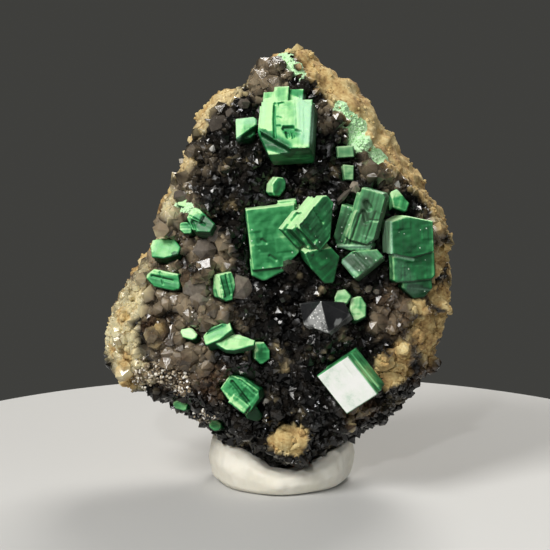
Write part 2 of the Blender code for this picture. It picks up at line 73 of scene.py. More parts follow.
# Lights: name, place and width in metres, power in watts, colour
LIGHTS = [
    ("key_light", (-0.13, -0.15, 0.19), 0.09, 0.66, (1.0, 0.98, 0.95)),
    ("fill_light", (0.22, -0.16, 0.08), 0.16, 0.1, (0.95, 0.98, 1.0)),
    ("rim_light", (0.06, 0.15, 0.17), 0.1, 0.35, (1.0, 0.97, 0.92)),
    ("glint_light", (-0.05, -0.26, 0.14), 0.012, 0.19, (1.0, 1.0, 1.0)),
]

# Seeds of what is strewn or varied at random
QUARTZ_SEED = 3
ACCENT_SEED = 4
HOST_SEED = 5
PYRAMID_SEED = 6
MINT_SEED = 9
CRUMB_SEED = 21

# Lines of the rock seen from the front, as (height, value): its left edge, the depth
# of its outline, and where the druse ends at the bare rim
LEFT_EDGE = [
    (1.4, -1.0), (4.1, -5.3), (7.4, -10.7), (8.7, -12.4), (12.3, -12.1), (14.5, -10.8),
    (17.0, -9.2), (18.9, -8.7), (21.2, -7.5), (24.1, -6.5), (27.4, -4.7), (30.5, -1.4),
]
OUTLINE_DEPTH = [(1.4, 0.0), (12.0, 0.6), (24.0, 1.6), (31.0, 1.8)]
DRUSE_EDGE = [
    (16.0, 14.0), (18.4, 11.4), (20.9, 9.9), (23.2, 7.4), (25.2, 5.2),
    (26.7, 4.6), (28.1, 2.9), (29.7, 1.4), (31.2, 0.4),
]

# Width of the bare rim along the upper left edge
BARE_EDGE = 1.0

# Zones of the rock's front, as (x, height, radius, strength)
TAN_ZONES = [
    (8.3, 9.2, 1.2, 0.7), (10.0, 12.6, 1.4, 0.8), (11.4, 16.6, 1.3, 0.9), (11.4, 14.2, 1.3, 0.9),
    (11.2, 12.0, 1.3, 1.0), (10.6, 10.2, 1.1, 0.8), (-8.2, 12.9, 0.8, 0.6),
    (-11.4, 10.0, 1.0, 0.75), (-10.6, 8.2, 0.9, 0.7), (-11.2, 12.6, 0.7, 0.6),
]
PALE_ZONES = [
    (-11.6, 11.0, 1.9, 1.0), (-10.6, 8.9, 1.6, 0.9), (-10.8, 13.6, 1.4, 0.8), (-9.6, 15.4, 1.1, 0.5),
    (-8.6, 18.2, 1.0, 0.6), (-7.9, 20.6, 1.1, 0.7),
]
# Where the quartz is stained brown
BROWN_ZONES = [
    (8.8, 13.6, 2.6, 1.0), (10.4, 16.6, 1.4, 0.8), (-8.4, 12.4, 1.5, 0.8), (-4.6, 8.6, 1.6, 0.7),
    (-7.6, 9.4, 1.8, 0.6), (-6.2, 16.2, 1.2, 0.5), (5.6, 6.4, 1.6, 0.6), (9.6, 9.0, 1.6, 0.7),
]
# Crumbs between the lumps of quartz, the palest painted nearly white as painted glints
CRUMB_ZONES = [
    (-8.6, 10.0, 1.5, 1.0), (-7.2, 8.9, 1.3, 0.9), (-9.6, 8.6, 1.0, 0.8), (-5.4, 6.0, 1.0, 0.5),
]
# Lumps of host rock that stand out, as ellipses of the picture: middle, half sizes
# and rise in millimetres
LUMPS = [
    (290, 440, 18, 16, 0.9), (276, 439, 9, 6, 0.7), (386, 371, 13, 17, 0.7), (402, 352, 10, 13, 0.5),
    (424, 340, 8, 14, 0.4), (418, 306, 9, 9, 0.4),
]
GREY_ZONES = [
    (-7.4, 19.6, 2.4, 1.1), (-8.8, 15.2, 2.4, 1.1), (-5.4, 14.4, 2.2, 1.0),
    (-4.9, 17.4, 1.8, 0.8), (-5.9, 23.6, 1.8, 0.4), (-0.9, 29.5, 1.7, 1.1),
    (-4.0, 26.6, 1.4, 0.35), (-7.0, 10.8, 2.6, 0.8), (10.2, 18.4, 1.6, 0.8),
    (8.3, 14.4, 1.5, 0.8), (7.4, 12.9, 1.5, 0.9), (9.6, 10.6, 2.4, 0.6), (8.0, 22.8, 1.4, 0.7),
    (-3.4, 12.9, 1.2, 0.5), (3.0, 26.8, 1.3, 0.5), (6.2, 23.9, 1.6, 0.6),
]
# Mint powder on the rock, as ellipses of the picture: middle and half sizes
MINT_PATCHES = [
    (284, 59, 8, 6), (294, 67, 8, 5), (300, 75, 6, 5), (341, 110, 8, 9), (348, 121, 9, 12),
    (356, 134, 10, 14), (363, 147, 11, 12), (374, 158, 11, 9), (184, 207, 9, 5),
]

# Torbernite, one entry for each crystal: lattice (x, y, height), yaw, pitch and roll
# of its flat face, and its blocks: (across, up, face) of the face's middle, width,
# height, thickness, and the cuts of its corners from the low left anticlockwise
SQUARE = (0, 0, 0, 0)
CRYSTALS = {
    "torbernite_crown": [
        ((0.45, -6.0, 26.5), (-14, 38, 5), [
            (-0.2, 0.02, 0.0, 3.6, 3.9, 0.9, ((2.2, 1.5), 0, 0, 0)),
            (-0.3, 0.02, -0.6, 3.88, 3.96, 1.5, ((0.9, 1.8), 0.1, 0, 0)),
            (-1.65, 2.1, -0.45, 0.75, 1.9, 1.5, SQUARE),
            (-0.72, 2.25, -0.38, 1.12, 2.3, 1.6, SQUARE),
            (0.28, 2.3, -0.75, 1.0, 2.1, 1.2, SQUARE),
        ]),
    ],
    "torbernite_crown_side": [
        ((-2.42, -4.95, 26.1), (-10, 36, 8), [
            (0.02, 0.1, 0.0, 1.5, 1.6, 0.7, (0, (1.3, 0.9), 0.2, 0)),
            (-0.12, 0.15, -0.5, 1.32, 1.3, 0.9, (0, 0.3, 0, 0)),
        ]),
    ],
    "torbernite_stray": [
        ((-0.15, -5.6, 22.15), (20, 8, -8), [
            (0.0, 0.0, 0.0, 1.05, 1.35, 1.3, (0.25, (0.4, 0.55), 0.25, (0.3, 0.5))),
        ]),
    ],
    "torbernite_centre": [
        ((-0.7, -6.6, 18.6), (4, 4, 6), [
            (0.2, 0.18, 0.0, 3.4, 4.3, 1.4, (0.1, (1.1, 0.9), 0, 0)),
            (-0.42, -2.0, -0.25, 2.3, 1.5, 1.2, ((0.7, 0.45), (1.4, 0.5), 0, 0)),
            (1.42, 2.05, -0.35, 1.3, 1.1, 1.0, SQUARE),
        ]),
        ((2.7, -8.1, 20.1), (30, 4, 44), [
            (0.07, -0.08, 0.0, 3.06, 2.55, 0.75, (0, (1.9, 1.5), 0.3, 0.2)),
            (-0.2, -0.1, -0.65, 3.0, 2.4, 0.9, (0, (1.5, 1.2), 0.9, 0)),
            (-1.1, 0.3, -1.4, 1.75, 2.1, 0.55, SQUARE),
            (0.35, 0.6, -0.8, 1.5, 1.5, 0.6, SQUARE),
            (-0.15, -0.05, -1.2, 1.8, 1.6, 2.4, SQUARE),
        ]),
        ((2.9, -7.5, 16.7), (16, -8, 42), [
            (0.4, 0.35, 0.0, 2.0, 3.1, 2.2, ((0.4, 0.35), (1.4, 1.1), (1.4, 1.0), (0.35, 1.2))),
        ]),
    ],
    "torbernite_book": [
        ((5.6, -7.2, 20.2), (-12, 6, -14), [
            (0.2, 0.15, 0.0, 1.8, 3.7, 1.7, (0, (0.4, 0.5), 0.25, 0)),
            (-0.75, 0.0, -0.2, 0.45, 3.2, 2.0, SQUARE),
            (-1.35, -0.75, -0.4, 0.9, 2.5, 1.8, (0.2, 0, 0, 0)),
            (-0.3, -2.0, -0.45, 2.6, 0.9, 1.6, (0.35, 0.2, 0, 0)),
        ]),
        ((5.4, -7.3, 17.1), (-8, 16, 41), [
            (0.25, 0.2, 0.0, 2.5, 1.7, 1.9, (0.15, 0, (1.4, 1.0), 0.2)),
        ]),
    ],
    "torbernite_right": [
        ((9.0, -6.0, 18.7), (22, 5, 1), [
            (0.0, 0.05, 0.0, 3.3, 2.95, 1.5, ((1.5, 0.4), (1.6, 0.3), (2.0, 0.5), (1.1, 0.3))),
            (0.27, -2.1, -0.45, 3.2, 2.0, 0.8, (0.2, 0.3, 0, 0)),
            (0.68, -3.55, -0.9, 2.3, 1.6, 0.9, (0.8, (0.7, 0.6), 0, 0)),
            (0.6, -1.2, -1.0, 1.7, 3.6, 1.6, SQUARE),
        ]),
    ],
    "torbernite_rim_upper": [
        ((4.46, -4.5, 24.5), (4, 8, 3), [(-0.03, -0.07, 0.0, 1.2, 0.86, 1.2, SQUARE)]),
    ],
    "torbernite_rim_lower": [
        ((4.75, -5.0, 22.9), (6, 12, -4), [
            (-0.15, 0.15, 0.0, 0.8, 1.05, 1.2, ((0.18, 0.8), 0, 0, 0)),
        ]),
    ],
    "torbernite_rim_right": [
        ((8.2, -4.6, 21.0), (16, 20, -24), [
            (-0.05, 0.07, 0.0, 1.5, 1.35, 1.3, ((0.5, 0.9), 0.15, (1.1, 0.6), 0.3)),
        ]),
    ],
    "torbernite_hollow": [
        ((4.15, -6.7, 14.7), (-10, 14, 8), [
            (0.04, -0.02, 0.0, 1.18, 1.04, 1.4, (0.25, (0.3, 0.4), (0.35, 0.5), (0.27, 0.5))),
        ]),
        ((5.3, -6.7, 13.7), (6, 22, -6), [
            (-0.02, 0.17, 0.0, 1.16, 1.75, 1.4, ((0.35, 0.7), (0.6, 0.35), (0.4, 0.6), (0.5, 0.2))),
        ]),
    ],
    "torbernite_pearly": [
        ((4.37, -8.2, 8.8), (-20, -13, 36), [
            (0.13, -0.05, 0.0, 2.96, 3.4, 0.7, SQUARE),
            (0.22, -0.12, -0.6, 2.8, 3.3, 1.1, SQUARE),
            (-0.5, -0.15, -1.6, 1.8, 2.1, 1.9, SQUARE),
        ]),
    ],
    "torbernite_shoulder_cap": [
        ((-6.8, -2.6, 20.9), (-24, 44, -12), [
            (0.2, -0.22, 0.0, 1.5, 0.87, 1.0, (0.4, 0.35, (0.35, 0.25), (0.4, 0.3))),
        ]),
    ],
    "torbernite_shoulder": [
        ((-5.45, -5.7, 19.8), (-16, 30, -20), [
            (-0.1, -0.04, 0.0, 2.15, 1.6, 1.2, ((0.8, 0.65), (0.9, 0.3), (1.6, 0.55), 0.25)),
            (-0.4, 0.1, 0.22, 0.8, 0.6, 1.0, SQUARE),
        ]),
        ((-6.6, -5.0, 19.1), (-18, 16, 6), [
            (0.0, 0.1, 0.0, 0.95, 0.9, 1.3, (0.35, 0.12, 0.35, 0.12)),
        ]),
    ],
    "torbernite_left_knob": [
        ((-8.1, -3.9, 17.6), (-20, 34, -4), [
            (0.0, 0.0, 0.0, 2.25, 1.53, 1.1, ((0.35, 0.8), (1.0, 0.45), (0.6, 0.5), (0.75, 0.25))),
        ]),
    ],
    "torbernite_left": [
        ((-8.3, -5.2, 15.4), (-18, 12, -8), [
            (0.12, 0.22, 0.0, 2.6, 1.25, 1.1, ((0.7, 0.5), (0.45, 0.2), (0.3, 0.8), (0.4, 0.5))),
        ]),
    ],
    "torbernite_inner_left": [
        ((-3.95, -6.8, 15.4), (22, 10, 8), [
            (0.27, -0.06, 0.0, 1.34, 1.98, 1.3, (0.4, (0.45, 1.0), (0.12, 0.6), (0.25, 1.0))),
        ]),
    ],
    "torbernite_leaf": [
        ((-3.3, -7.4, 11.6), (-8, 52, -4), [
            (-0.05, 0.12, 0.0, 3.05, 1.45, 0.5, ((1.2, 0.65), (1.3, 0.6), (1.2, 0.4), (1.1, 0.5))),
            (0.0, 0.35, -0.4, 1.3, 0.7, 0.7, SQUARE),
        ]),
        ((-4.5, -7.0, 12.3), (-20, 38, 28), [
            (0.1, -0.1, 0.0, 2.1, 1.25, 1.1, (0.1, (1.1, 0.4), (0.5, 0.2), (0.65, 0.45))),
        ]),
    ],
    "torbernite_bead": [
        ((-1.3, -6.8, 10.8), (10, 8, 0), [
            (0.0, -0.05, 0.0, 1.13, 1.57, 1.3, (0.42, (0.55, 0.35), (0.4, 0.6), 0.12)),
        ]),
    ],
    "torbernite_low": [
        ((-2.95, -6.9, 7.8), (-12, 6, -34), [
            (0.0, 0.12, 0.0, 2.7, 2.05, 1.6, ((1.6, 0.5), (0.7, 0.4), 0.4, (1.0, 0.3))),
            (0.4, -0.45, 0.2, 1.4, 0.7, 1.2, SQUARE),
        ]),
        ((-1.95, -6.3, 6.3), (20, -12, -20), [
            (0.15, 0.07, 0.0, 1.2, 1.0, 1.3, (0.15, 0.2, (0.6, 0.45), 0)),
        ]),
    ],
    "torbernite_foot": [
        ((-4.9, -3.8, 4.9), (-16, 10, 12), [
            (0.25, -0.02, 0.0, 0.95, 0.85, 1.2, (0.35, 0.2, 0.35, 0.25)),
        ]),
    ],
    "torbernite_edge": [
        ((-7.1, -4.0, 6.5), (-20, 8, -10), [
            (0.0, -0.07, 0.0, 1.15, 0.75, 1.4, (0.25, 0.15, (0.4, 0.25), (0.4, 0.25))),
        ]),
    ],
    "torbernite_flake": [
        ((-6.35, -6.2, 12.0), (-14, 30, -14), [
            (-0.05, 0.05, 0.0, 1.25, 0.8, 1.1, (0.3, 0.2, (0.5, 0.3), (0.5, 0.3))),
        ]),
    ],
}
BEVEL = 0.07
GROWTH_LAYER = 0.26
LAYER_STEP = 0.045
CRYSTAL_VOXEL = 0.06
CORNER_ROUNDING = 0.02

# Which way a crystal's main face is striated: 0 across, 1 up, absent for none
STRIAE = {
    "torbernite_crown": (0, 0.01),
    "torbernite_crown_side": (0, 0.012),
    "torbernite_book": (0, 0.022),
    "torbernite_right": (0, 0.005),
    "torbernite_shoulder": (1, 0.015),
    "torbernite_left": (1, 0.015),
    "torbernite_inner_left": (0, 0.02),
}

# Grooves and pits of the crystals, along lines of the picture: x, y, x, y, half
# width, and depth in millimetres (below zero, a ridge)
GROOVES = {
    "torbernite_crown": [
        (275, 104, 274, 120, 1.6, 0.16), (274, 120, 275, 137, 1.5, 0.14),
        (277, 117, 281, 118, 1.3, 0.12), (277, 126, 280, 126, 1.3, 0.12),
        (279, 104, 283, 103, 1.6, 0.14), (284, 128, 292, 128, 2.4, 0.26),
        (287, 132, 288, 136, 2.2, 0.24), (291, 130, 300, 132, 2.2, 0.18),
        (292, 133, 293, 137, 1.6, 0.2), (306, 100, 311, 102, 2.6, 0.09),
        (296, 99, 297, 124, 0.7, 0.06), (300, 97, 301, 128, 0.6, 0.05),
        (304, 108, 305, 137, 0.6, 0.05),
    ],
    "torbernite_centre": [
        (262, 240, 266, 243, 1.4, 0.08), (270, 256, 276, 260, 1.4, 0.07),
        (256, 246, 259, 250, 1.0, 0.04),
        (286, 232, 298, 247, 1.3, -0.05), (314, 208, 323, 223, 0.9, 0.08),
        (302, 226, 314, 240, 3.0, 0.1), (296, 206, 310, 228, 0.9, 0.06),
        (308, 248, 312, 254, 1.6, -0.05),
    ],
    "torbernite_book": [
        (366, 203, 369, 208, 3.0, 0.3), (363, 212, 366, 221, 2.4, 0.28),
        (356, 212, 345, 243, 1.3, -0.12), (351, 212, 340, 240, 0.8, 0.1),
        (360, 214, 350, 244, 1.1, 0.18), (376, 212, 366, 240, 0.7, 0.08),
        (370, 220, 378, 221, 0.9, 0.1), (334, 246, 369, 246, 1.4, -0.1),
        (354, 252, 369, 267, 1.3, 0.16), (350, 256, 363, 270, 0.7, 0.06),
    ],
    "torbernite_right": [(402, 265, 402, 279, 0.6, 0.03)],
    "torbernite_leaf": [(205, 334, 222, 326, 1.2, 0.1), (231, 337, 249, 340, 0.8, 0.06)],
    "torbernite_low": [(232, 382, 248, 402, 1.5, 0.16), (240, 380, 256, 394, 0.8, 0.08)],
    "torbernite_left": [(152, 276, 172, 281, 1.2, 0.12), (160, 272, 163, 284, 1.0, 0.1)],
    "torbernite_inner_left": [(219, 276, 224, 296, 1.0, -0.12), (226, 274, 231, 294, 1.0, 0.1)],
    "torbernite_shoulder": [(186, 214, 204, 224, 1.2, 0.1), (192, 222, 196, 232, 1.0, 0.12)],
    "torbernite_pearly": [(340, 360, 352, 376, 0.6, 0.03)],
}

# Paler (above zero) or deeper strokes of colour, partly the crystals' own tone and partly painted light
# and painted shade where faces are lit or shaded, along lines of the picture: x, y, x, y, half width,
# amount
STROKES = {
    "torbernite_crown": [
        (268, 104, 266, 128, 6, 0.3), (300, 100, 304, 128, 6, 0.22), (284, 110, 286, 122, 5, 0.1),
        (262, 136, 284, 149, 8, -0.5), (268, 144, 290, 153, 5, -0.6), (268, 157, 310, 159, 5, 0.5),
        (286, 130, 296, 133, 4, -0.3), (264, 96, 268, 92, 6, -0.14), (280, 92, 286, 100, 6, -0.1),
        (274, 106, 275, 136, 1.6, -0.25), (314, 104, 314, 140, 2.5, -0.2), (307, 90, 313, 93, 3, 0.1),
        (293, 91, 303, 95, 4, -0.35),
    ],
    "torbernite_crown_side": [
        (240, 120, 238, 136, 4, 0.12), (246, 140, 256, 130, 3.5, -0.35), (250, 120, 256, 118, 3, -0.02),
    ],
    "torbernite_stray": [(268, 186, 272, 196, 3, 0.4), (279, 184, 276, 194, 2.5, -0.15)],
    "torbernite_centre": [
        (252, 234, 252, 256, 3, 0.1), (263, 242, 276, 262, 6, -0.1), (287, 221, 289, 222, 2, 0.5),
        (302, 222, 316, 244, 6, -0.1), (299, 228, 311, 252, 1.6, 0.3), (298, 226, 316, 200, 1.6, 0.2),
        (329, 196, 333, 207, 2, 0.12), (280, 232, 296, 248, 4, 0.16), (318, 259, 322, 264, 2.5, 0.2),
        (322, 264, 328, 260, 2.5, 0.2), (322, 270, 328, 282, 4, 0.02), (286, 205, 312, 203, 2.5, 0.14),
        (262, 270, 282, 268, 4, 0.05), (238, 264, 250, 276, 8, -0.08), (324, 212, 328, 236, 4, 0.12),
    ],
    "torbernite_book": [
        (365, 203, 365, 222, 4.5, -0.34), (356, 212, 345, 243, 2.2, 0.2), (333, 246, 369, 248, 2.5, 0.26),
        (347, 210, 338, 240, 3, -0.04), (378, 204, 372, 232, 4, -0.02), (354, 252, 369, 267, 2.6, -0.3),
        (344, 258, 358, 276, 1.6, 0.3), (350, 262, 366, 264, 8, -0.65), (369, 252, 378, 258, 4, 0.0),
        (384, 200, 381, 212, 1.2, 0.2),
    ],
    "torbernite_right": [
        (386, 220, 387, 252, 3.5, 0.7), (392, 222, 410, 215, 1.4, 0.25), (410, 215, 433, 222, 1.2, 0.15),
        (396, 240, 410, 250, 8, -0.08), (424, 236, 426, 246, 5, 0.06), (393, 256, 413, 260, 1.6, 0.4),
        (433, 222, 433, 280, 1.2, 0.2), (396, 270, 410, 278, 5, -0.06), (412, 290, 426, 294, 6, -0.6),
    ],
    "torbernite_rim_upper": [(338, 147, 353, 156, 6, 0.1)],
    "torbernite_rim_lower": [(345, 168, 356, 178, 5, 0.2)],
    "torbernite_rim_right": [(394, 194, 404, 190, 4, 0.34), (402, 198, 405, 206, 4, -0.08)],
    "torbernite_hollow": [
        (340, 296, 346, 300, 4, 0.08), (357, 312, 361, 318, 4, 0.3), (352, 300, 356, 306, 4, 0.12),
    ],
    "torbernite_shoulder_cap": [(178, 200, 194, 204, 5, 0.18)],
    "torbernite_shoulder": [
        (188, 214, 196, 210, 3.5, 0.3), (204, 220, 212, 226, 5, -0.4), (194, 222, 204, 230, 4, -0.3),
        (182, 228, 188, 232, 4, 0.2), (196, 210, 200, 212, 2, 0.3),
    ],
    "torbernite_left_knob": [(156, 246, 170, 250, 7, 0.24), (174, 254, 178, 255, 3, -0.3)],
    "torbernite_left": [
        (146, 274, 152, 270, 4, 0.22), (150, 272, 172, 274, 2, 0.18), (156, 280, 172, 288, 5, -0.1),
    ],
    "torbernite_inner_left": [
        (216, 276, 221, 298, 2, 0.4), (226, 280, 230, 296, 4, -0.04), (232, 280, 240, 290, 3, 0.14),
    ],
    "torbernite_leaf": [
        (206, 332, 224, 325, 2, -0.3), (222, 342, 250, 344, 5, 0.16), (226, 332, 246, 338, 3, 0.1),
        (210, 344, 218, 338, 3, 0.05),
    ],
    "torbernite_pearly": [(356, 362, 378, 386, 1.3, 0.35), (366, 372, 374, 380, 3, 0.2)],
    "torbernite_bead": [(254, 346, 256, 350, 2.5, 0.3), (262, 350, 264, 360, 5, -0.06)],
    "torbernite_low": [
        (222, 392, 246, 412, 2.2, 0.36), (232, 382, 248, 402, 2, -0.2), (246, 374, 250, 380, 2, 0.2),
    ],
    "torbernite_flake": [(196, 332, 202, 336, 4, 0.2)],
}
# Painted sheen and painted highlights on the crystals, whitish, along lines of the picture: x, y, x, y,
# half width, amount
PAINTED_SHEEN = {
    "torbernite_crown": [
        (304, 104, 307, 136, 8, 0.8), (296, 100, 297, 120, 3, 0.3), (264, 104, 262, 122, 3, 0.25),
    ],
    "torbernite_crown_side": [(239, 120, 255, 118, 6, 0.5), (238, 124, 238, 138, 3, 0.4)],
    "torbernite_book": [
        (333, 246, 369, 247, 2, 0.5), (348, 254, 374, 266, 2, 0.1), (344, 262, 356, 274, 2, 0.5),
    ],
    "torbernite_right": [
        (390, 222, 391, 254, 2.0, 0.8), (386, 222, 387, 252, 4, 0.8), (394, 255.5, 413, 259.5, 1.3, 0.9),
        (398, 268, 412, 288, 8, 0.12), (398, 287, 430, 290, 0.8, 0.2), (441, 224, 442, 284, 1.0, 0.3),
    ],
    "torbernite_rim_right": [(398, 188, 404, 184, 4, 0.4)],
}
# How much paler or deeper a whole crystal is than the painted light and shade from the direction of its
# faces says
CRYSTAL_SHIFT = {
    "torbernite_crown": -0.08, "torbernite_book": -0.19, "torbernite_low": -0.2,
    "torbernite_edge": -0.08, "torbernite_foot": -0.06, "torbernite_left": -0.17,
    "torbernite_shoulder": -0.27, "torbernite_left_knob": -0.3, "torbernite_leaf": -0.15,
    "torbernite_right": -0.01, "torbernite_inner_left": 0.03, "torbernite_stray": -0.06,
    "torbernite_crown_side": -0.1, "torbernite_centre": 0.0,
}
# How much greyer a crystal is
CRYSTAL_DULLNESS = {
    "torbernite_book": 0.4, "torbernite_rim_upper": 0.5, "torbernite_rim_lower": 0.45,
    "torbernite_hollow": 0.2, "torbernite_centre": 0.03,
}
# White specks on these crystals
SPECKLED = ("torbernite_book", "torbernite_right", "torbernite_centre")
# How far inward a crystal at the outline looks for the rock, in the picture's pixels
OUTLINE_SEARCH = 20

# Where the three parts of a chip's tilt are read from the noise
CHIP_SHIFTS = (Vector((9.3, -1.5, -8.0)), Vector((-4.6, 7.7, 2.9)), Vector((1.8, 5.2, 13.1)))

# The great quartz pyramid
PYRAMID_AT = (3.14, -6.5, 13.75)
PYRAMID_AXIS = (-0.191, -0.75, 0.400)
PYRAMID_WIDTH = 3.76
PYRAMID_BODY = 0.7
PYRAMID_UPPER = 0.3
PYRAMID_TIP = 1.3
PYRAMID_SPIN = 45.0
PYRAMID_STEPS = 18
PYRAMID_PARTS = 8
# The share of its width where its tip starts, and how much of that the tip takes off
PYRAMID_SHOULDER = 0.985
PYRAMID_TAPER = 0.97
PYRAMID_LEDGE = 0.006
# Where the middle of its dusty side's foot is in the picture; that side is also painted pale as a painted
# reflection of the light
DUSTY_REFLECTING_AT = (316, 328)

# Small quartz: the widest crystal, and how far ahead it looks for what it would hide
QUARTZ_WIDEST = 1.3
SIGHT_REACH = 14.0
# Widths of the grains and how far the sparkling crumbs stand out
HOST_WIDTHS = (0.08, 0.27)
MINT_WIDTHS = (0.1, 0.24)
CRUMB_WIDTHS = (0.1, 0.26)
CRUMB_RISE = 0.3
# No grain lies where its weight is below this
LEAST_WEIGHT = 0.25
# Width of a face of the putty's skin
PUTTY_GRID = 0.17

# Growth plates of a crystal: how many at most, how far apart its striae are, and how
# much flatter the pearly plate is
MOST_PLATES = 18
STRIA_PITCH = 0.11
STRIA_REACH = 4.0
LAYER_RELIEF = 0.026
PEARLY_FLATNESS = 0.25

# Colours of single details, and the stops of the ramps that no setting changes
STAIN_SHADE = (0.035, 0.018, 0.009)
MINT_LIGHT = (0.68, 0.95, 0.62)
SPECK_COLOR = (0.75, 0.9, 0.75)
CRUMB_STOPS = (
    (0.1, (0.09, 0.06, 0.035)), (0.5, (0.3, 0.23, 0.14)), (0.75, (0.6, 0.52, 0.38)),
    (0.95, (0.95, 0.92, 0.84)),
)
ACCENT_STOPS = (
    (0.0, (0.02, 0.018, 0.016)), (0.35, (0.2, 0.17, 0.14)), (0.7, (0.6, 0.52, 0.4)),
    (1.0, (0.92, 0.9, 0.84)),
)
# Stops of the pearly face, nearly white: a painted reflection
PEARL_REFLECTION_STOPS = ((0.36, (0.62, 0.76, 0.64)), (0.46, (0.88, 0.93, 0.86)), (0.58, (0.97, 0.98, 0.95)))
PYRAMID_SHADE = (0.004, 0.004, 0.005)
PYRAMID_LIGHT = (0.03, 0.031, 0.033)
# Painted highlight on the pyramid's edges
PYRAMID_EDGE_HIGHLIGHT = (0.3, 0.31, 0.3)
# Grey-white of the lit side: partly dust, partly a painted reflection
PYRAMID_DUST_AND_REFLECTION = (0.5, 0.51, 0.5)
PYRAMID_SPARKLE = (0.95, 0.95, 0.92)
# The way that the green crystals' faces are painted paler: painted light on faces turned this way,
# painted shade on those turned away
PAINTED_LIGHT_SIDE = (-0.45, -0.35, 0.82)

# Quartz crystals that stand out, at places of the picture: x, y, width, length,
# lean to the right and up, paleness
ACCENTS = [
    (290, 267, 1.3, 1.5, -0.1, 0.5, 0.12), (338, 202, 0.42, 2.2, 0.35, 1.0, 0.3),
    (241, 286, 1.7, 0.8, 0.0, -0.3, 0.4), (355, 188, 0.9, 0.7, 0.0, 0.3, 0.6),
    (396, 187, 0.6, 0.7, 0.2, 0.6, 0.95), (242, 370, 0.5, 0.6, 0.0, 0.7, 1.0),
    (267, 403, 0.6, 0.7, 0.0, 0.6, 0.85), (300, 411, 0.4, 0.4, 0.1, 0.6, 0.9),
    (211, 150, 0.5, 0.6, 0.1, 0.6, 1.0), (208, 169, 0.45, 0.5, 0.1, 0.5, 1.0),
    (183, 162, 0.4, 0.5, -0.4, 0.4, 0.9), (227, 168, 0.4, 0.5, 0.0, 0.5, 0.6),
    (276, 66, 0.6, 0.6, 0.1, 0.5, 0.7), (245, 105, 0.9, 0.8, -0.3, 0.4, 0.3),
    (231, 116, 0.9, 0.8, -0.3, 0.5, 0.3), (220, 124, 1.5, 1.0, -0.3, 0.4, 0.22),
    (265, 82, 1.2, 0.8, -0.2, 0.3, 0.3), (312, 84, 0.7, 0.6, 0.0, 0.4, 0.12),
    (388, 200, 0.5, 0.7, 0.3, 0.7, 0.6), (370, 290, 0.6, 0.8, -0.2, 0.6, 0.5),
    (368, 178, 0.5, 0.7, 0.2, 0.8, 0.4), (377, 292, 0.5, 0.5, 0.2, 0.4, 0.4),
    (378, 186, 0.6, 0.8, 0.3, 0.6, 0.35), (330, 120, 0.5, 0.5, 0.0, 0.5, 0.5),
    (196, 286, 1.8, 1.0, -0.1, 0.3, 0.4), (200, 300, 1.6, 1.0, 0.1, 0.2, 0.42),
    (172, 258, 1.4, 0.8, -0.2, 0.3, 0.4), (205, 250, 1.6, 1.0, 0.1, 0.3, 0.34),
    (215, 235, 1.3, 1.0, 0.1, 0.4, 0.34), (182, 196, 1.2, 0.9, -0.4, 0.3, 0.3),
]


def along(line, values):
    """Values of a line of (height, value) points at an array of heights."""
    points = sorted(line)
    return np.interp(values, [point[0] for point in points], [point[1] for point in points])


def ease(values, low, high):
    """Ease from 0 to 1 between two values."""
    share = np.clip((values - low) / (high - low), 0.0, 1.0)
    return share * share * (3.0 - 2.0 * share)


def rough(points, scale, start=0.0):
    """Smooth noise at each point, about from -0.5 to 0.5."""
    shift = Vector((start, start * 1.7, -start))
    return np.array([noise.noise(Vector(point) * scale + shift) for point in points])


def chipped(points, scale):
    """Flat chips of broken rock, each tilted its own way, about from -0.4 to 0.4."""
    tilts = {}
    heights = []
    for point in points:
        place = Vector(point) * scale
        middle = noise.voronoi(place)[1][0]
        chip = tuple(middle)
        if chip not in tilts:
            tilts[chip] = Vector([noise.noise(middle * 3.7 + shift) for shift in CHIP_SHIFTS])
        heights.append(tilts[chip].dot(place - middle))
    return np.array(heights)


def seed_of(name):
    """Steady number made from a name."""
    return zlib.crc32(name.encode())


def toward(points, axis):
    """Dot product of each point with an axis, added up in the same way on each run."""
    return points[:, 0] * axis[0] + points[:, 1] * axis[1] + points[:, 2] * axis[2]


def camera_axes():
    """Camera's place and its right, up and forward directions, in millimetres."""
    tilt = math.radians(CAMERA_ELEVATION)
    forward = np.array((0.0, math.cos(tilt), -math.sin(tilt)))
    up = np.array((0.0, math.sin(tilt), math.cos(tilt)))
    place = np.array(CAMERA_TARGET) - forward * CAMERA_DISTANCE
    return place, np.array((1.0, 0.0, 0.0)), up, forward


def picture_places(points):
    """Where points in millimetres are in the picture, in its pixels."""
    place, right, up, forward = camera_axes()
    away = points - place
    depth = toward(away, forward)
    scale = PICTURE * CAMERA_LENS / SENSOR
    half = PICTURE / 2
    return half + scale * toward(away, right) / depth, half - scale * toward(away, up) / depth


def picture_ray(x, y):
    """Start and direction of the view through one place of the picture."""
    place, right, up, forward = camera_axes()
    scale = PICTURE * CAMERA_LENS / SENSOR
    half = PICTURE / 2
    direction = forward + right * (x - half) / scale - up * (y - half) / scale
    return Vector(place), Vector(direction).normalized()


def near_line(x, y, line):
    """Distance of places of the picture from a line of it."""
    x0, y0, x1, y1 = line
    run_x, run_y = x1 - x0, y1 - y0
    length = run_x ** 2 + run_y ** 2
    share = np.clip(((x - x0) * run_x + (y - y0) * run_y) / max(length, 0.01), 0.0, 1.0)
    return np.hypot(x - x0 - share * run_x, y - y0 - share * run_y)


def line_marks(x, y, lines, full, end):
    """Strongest mark of the lines at places of the picture. A mark is whole up to one
    share of its line's half width and fades out by another."""
    marks = np.zeros(len(x))
    for x0, y0, x1, y1, half, amount in lines:
        away = near_line(x, y, (x0, y0, x1, y1))
        here = (1.0 - ease(away, half * full, half * end)) * amount
        marks = np.where(np.abs(here) > np.abs(marks), here, marks)
    return marks


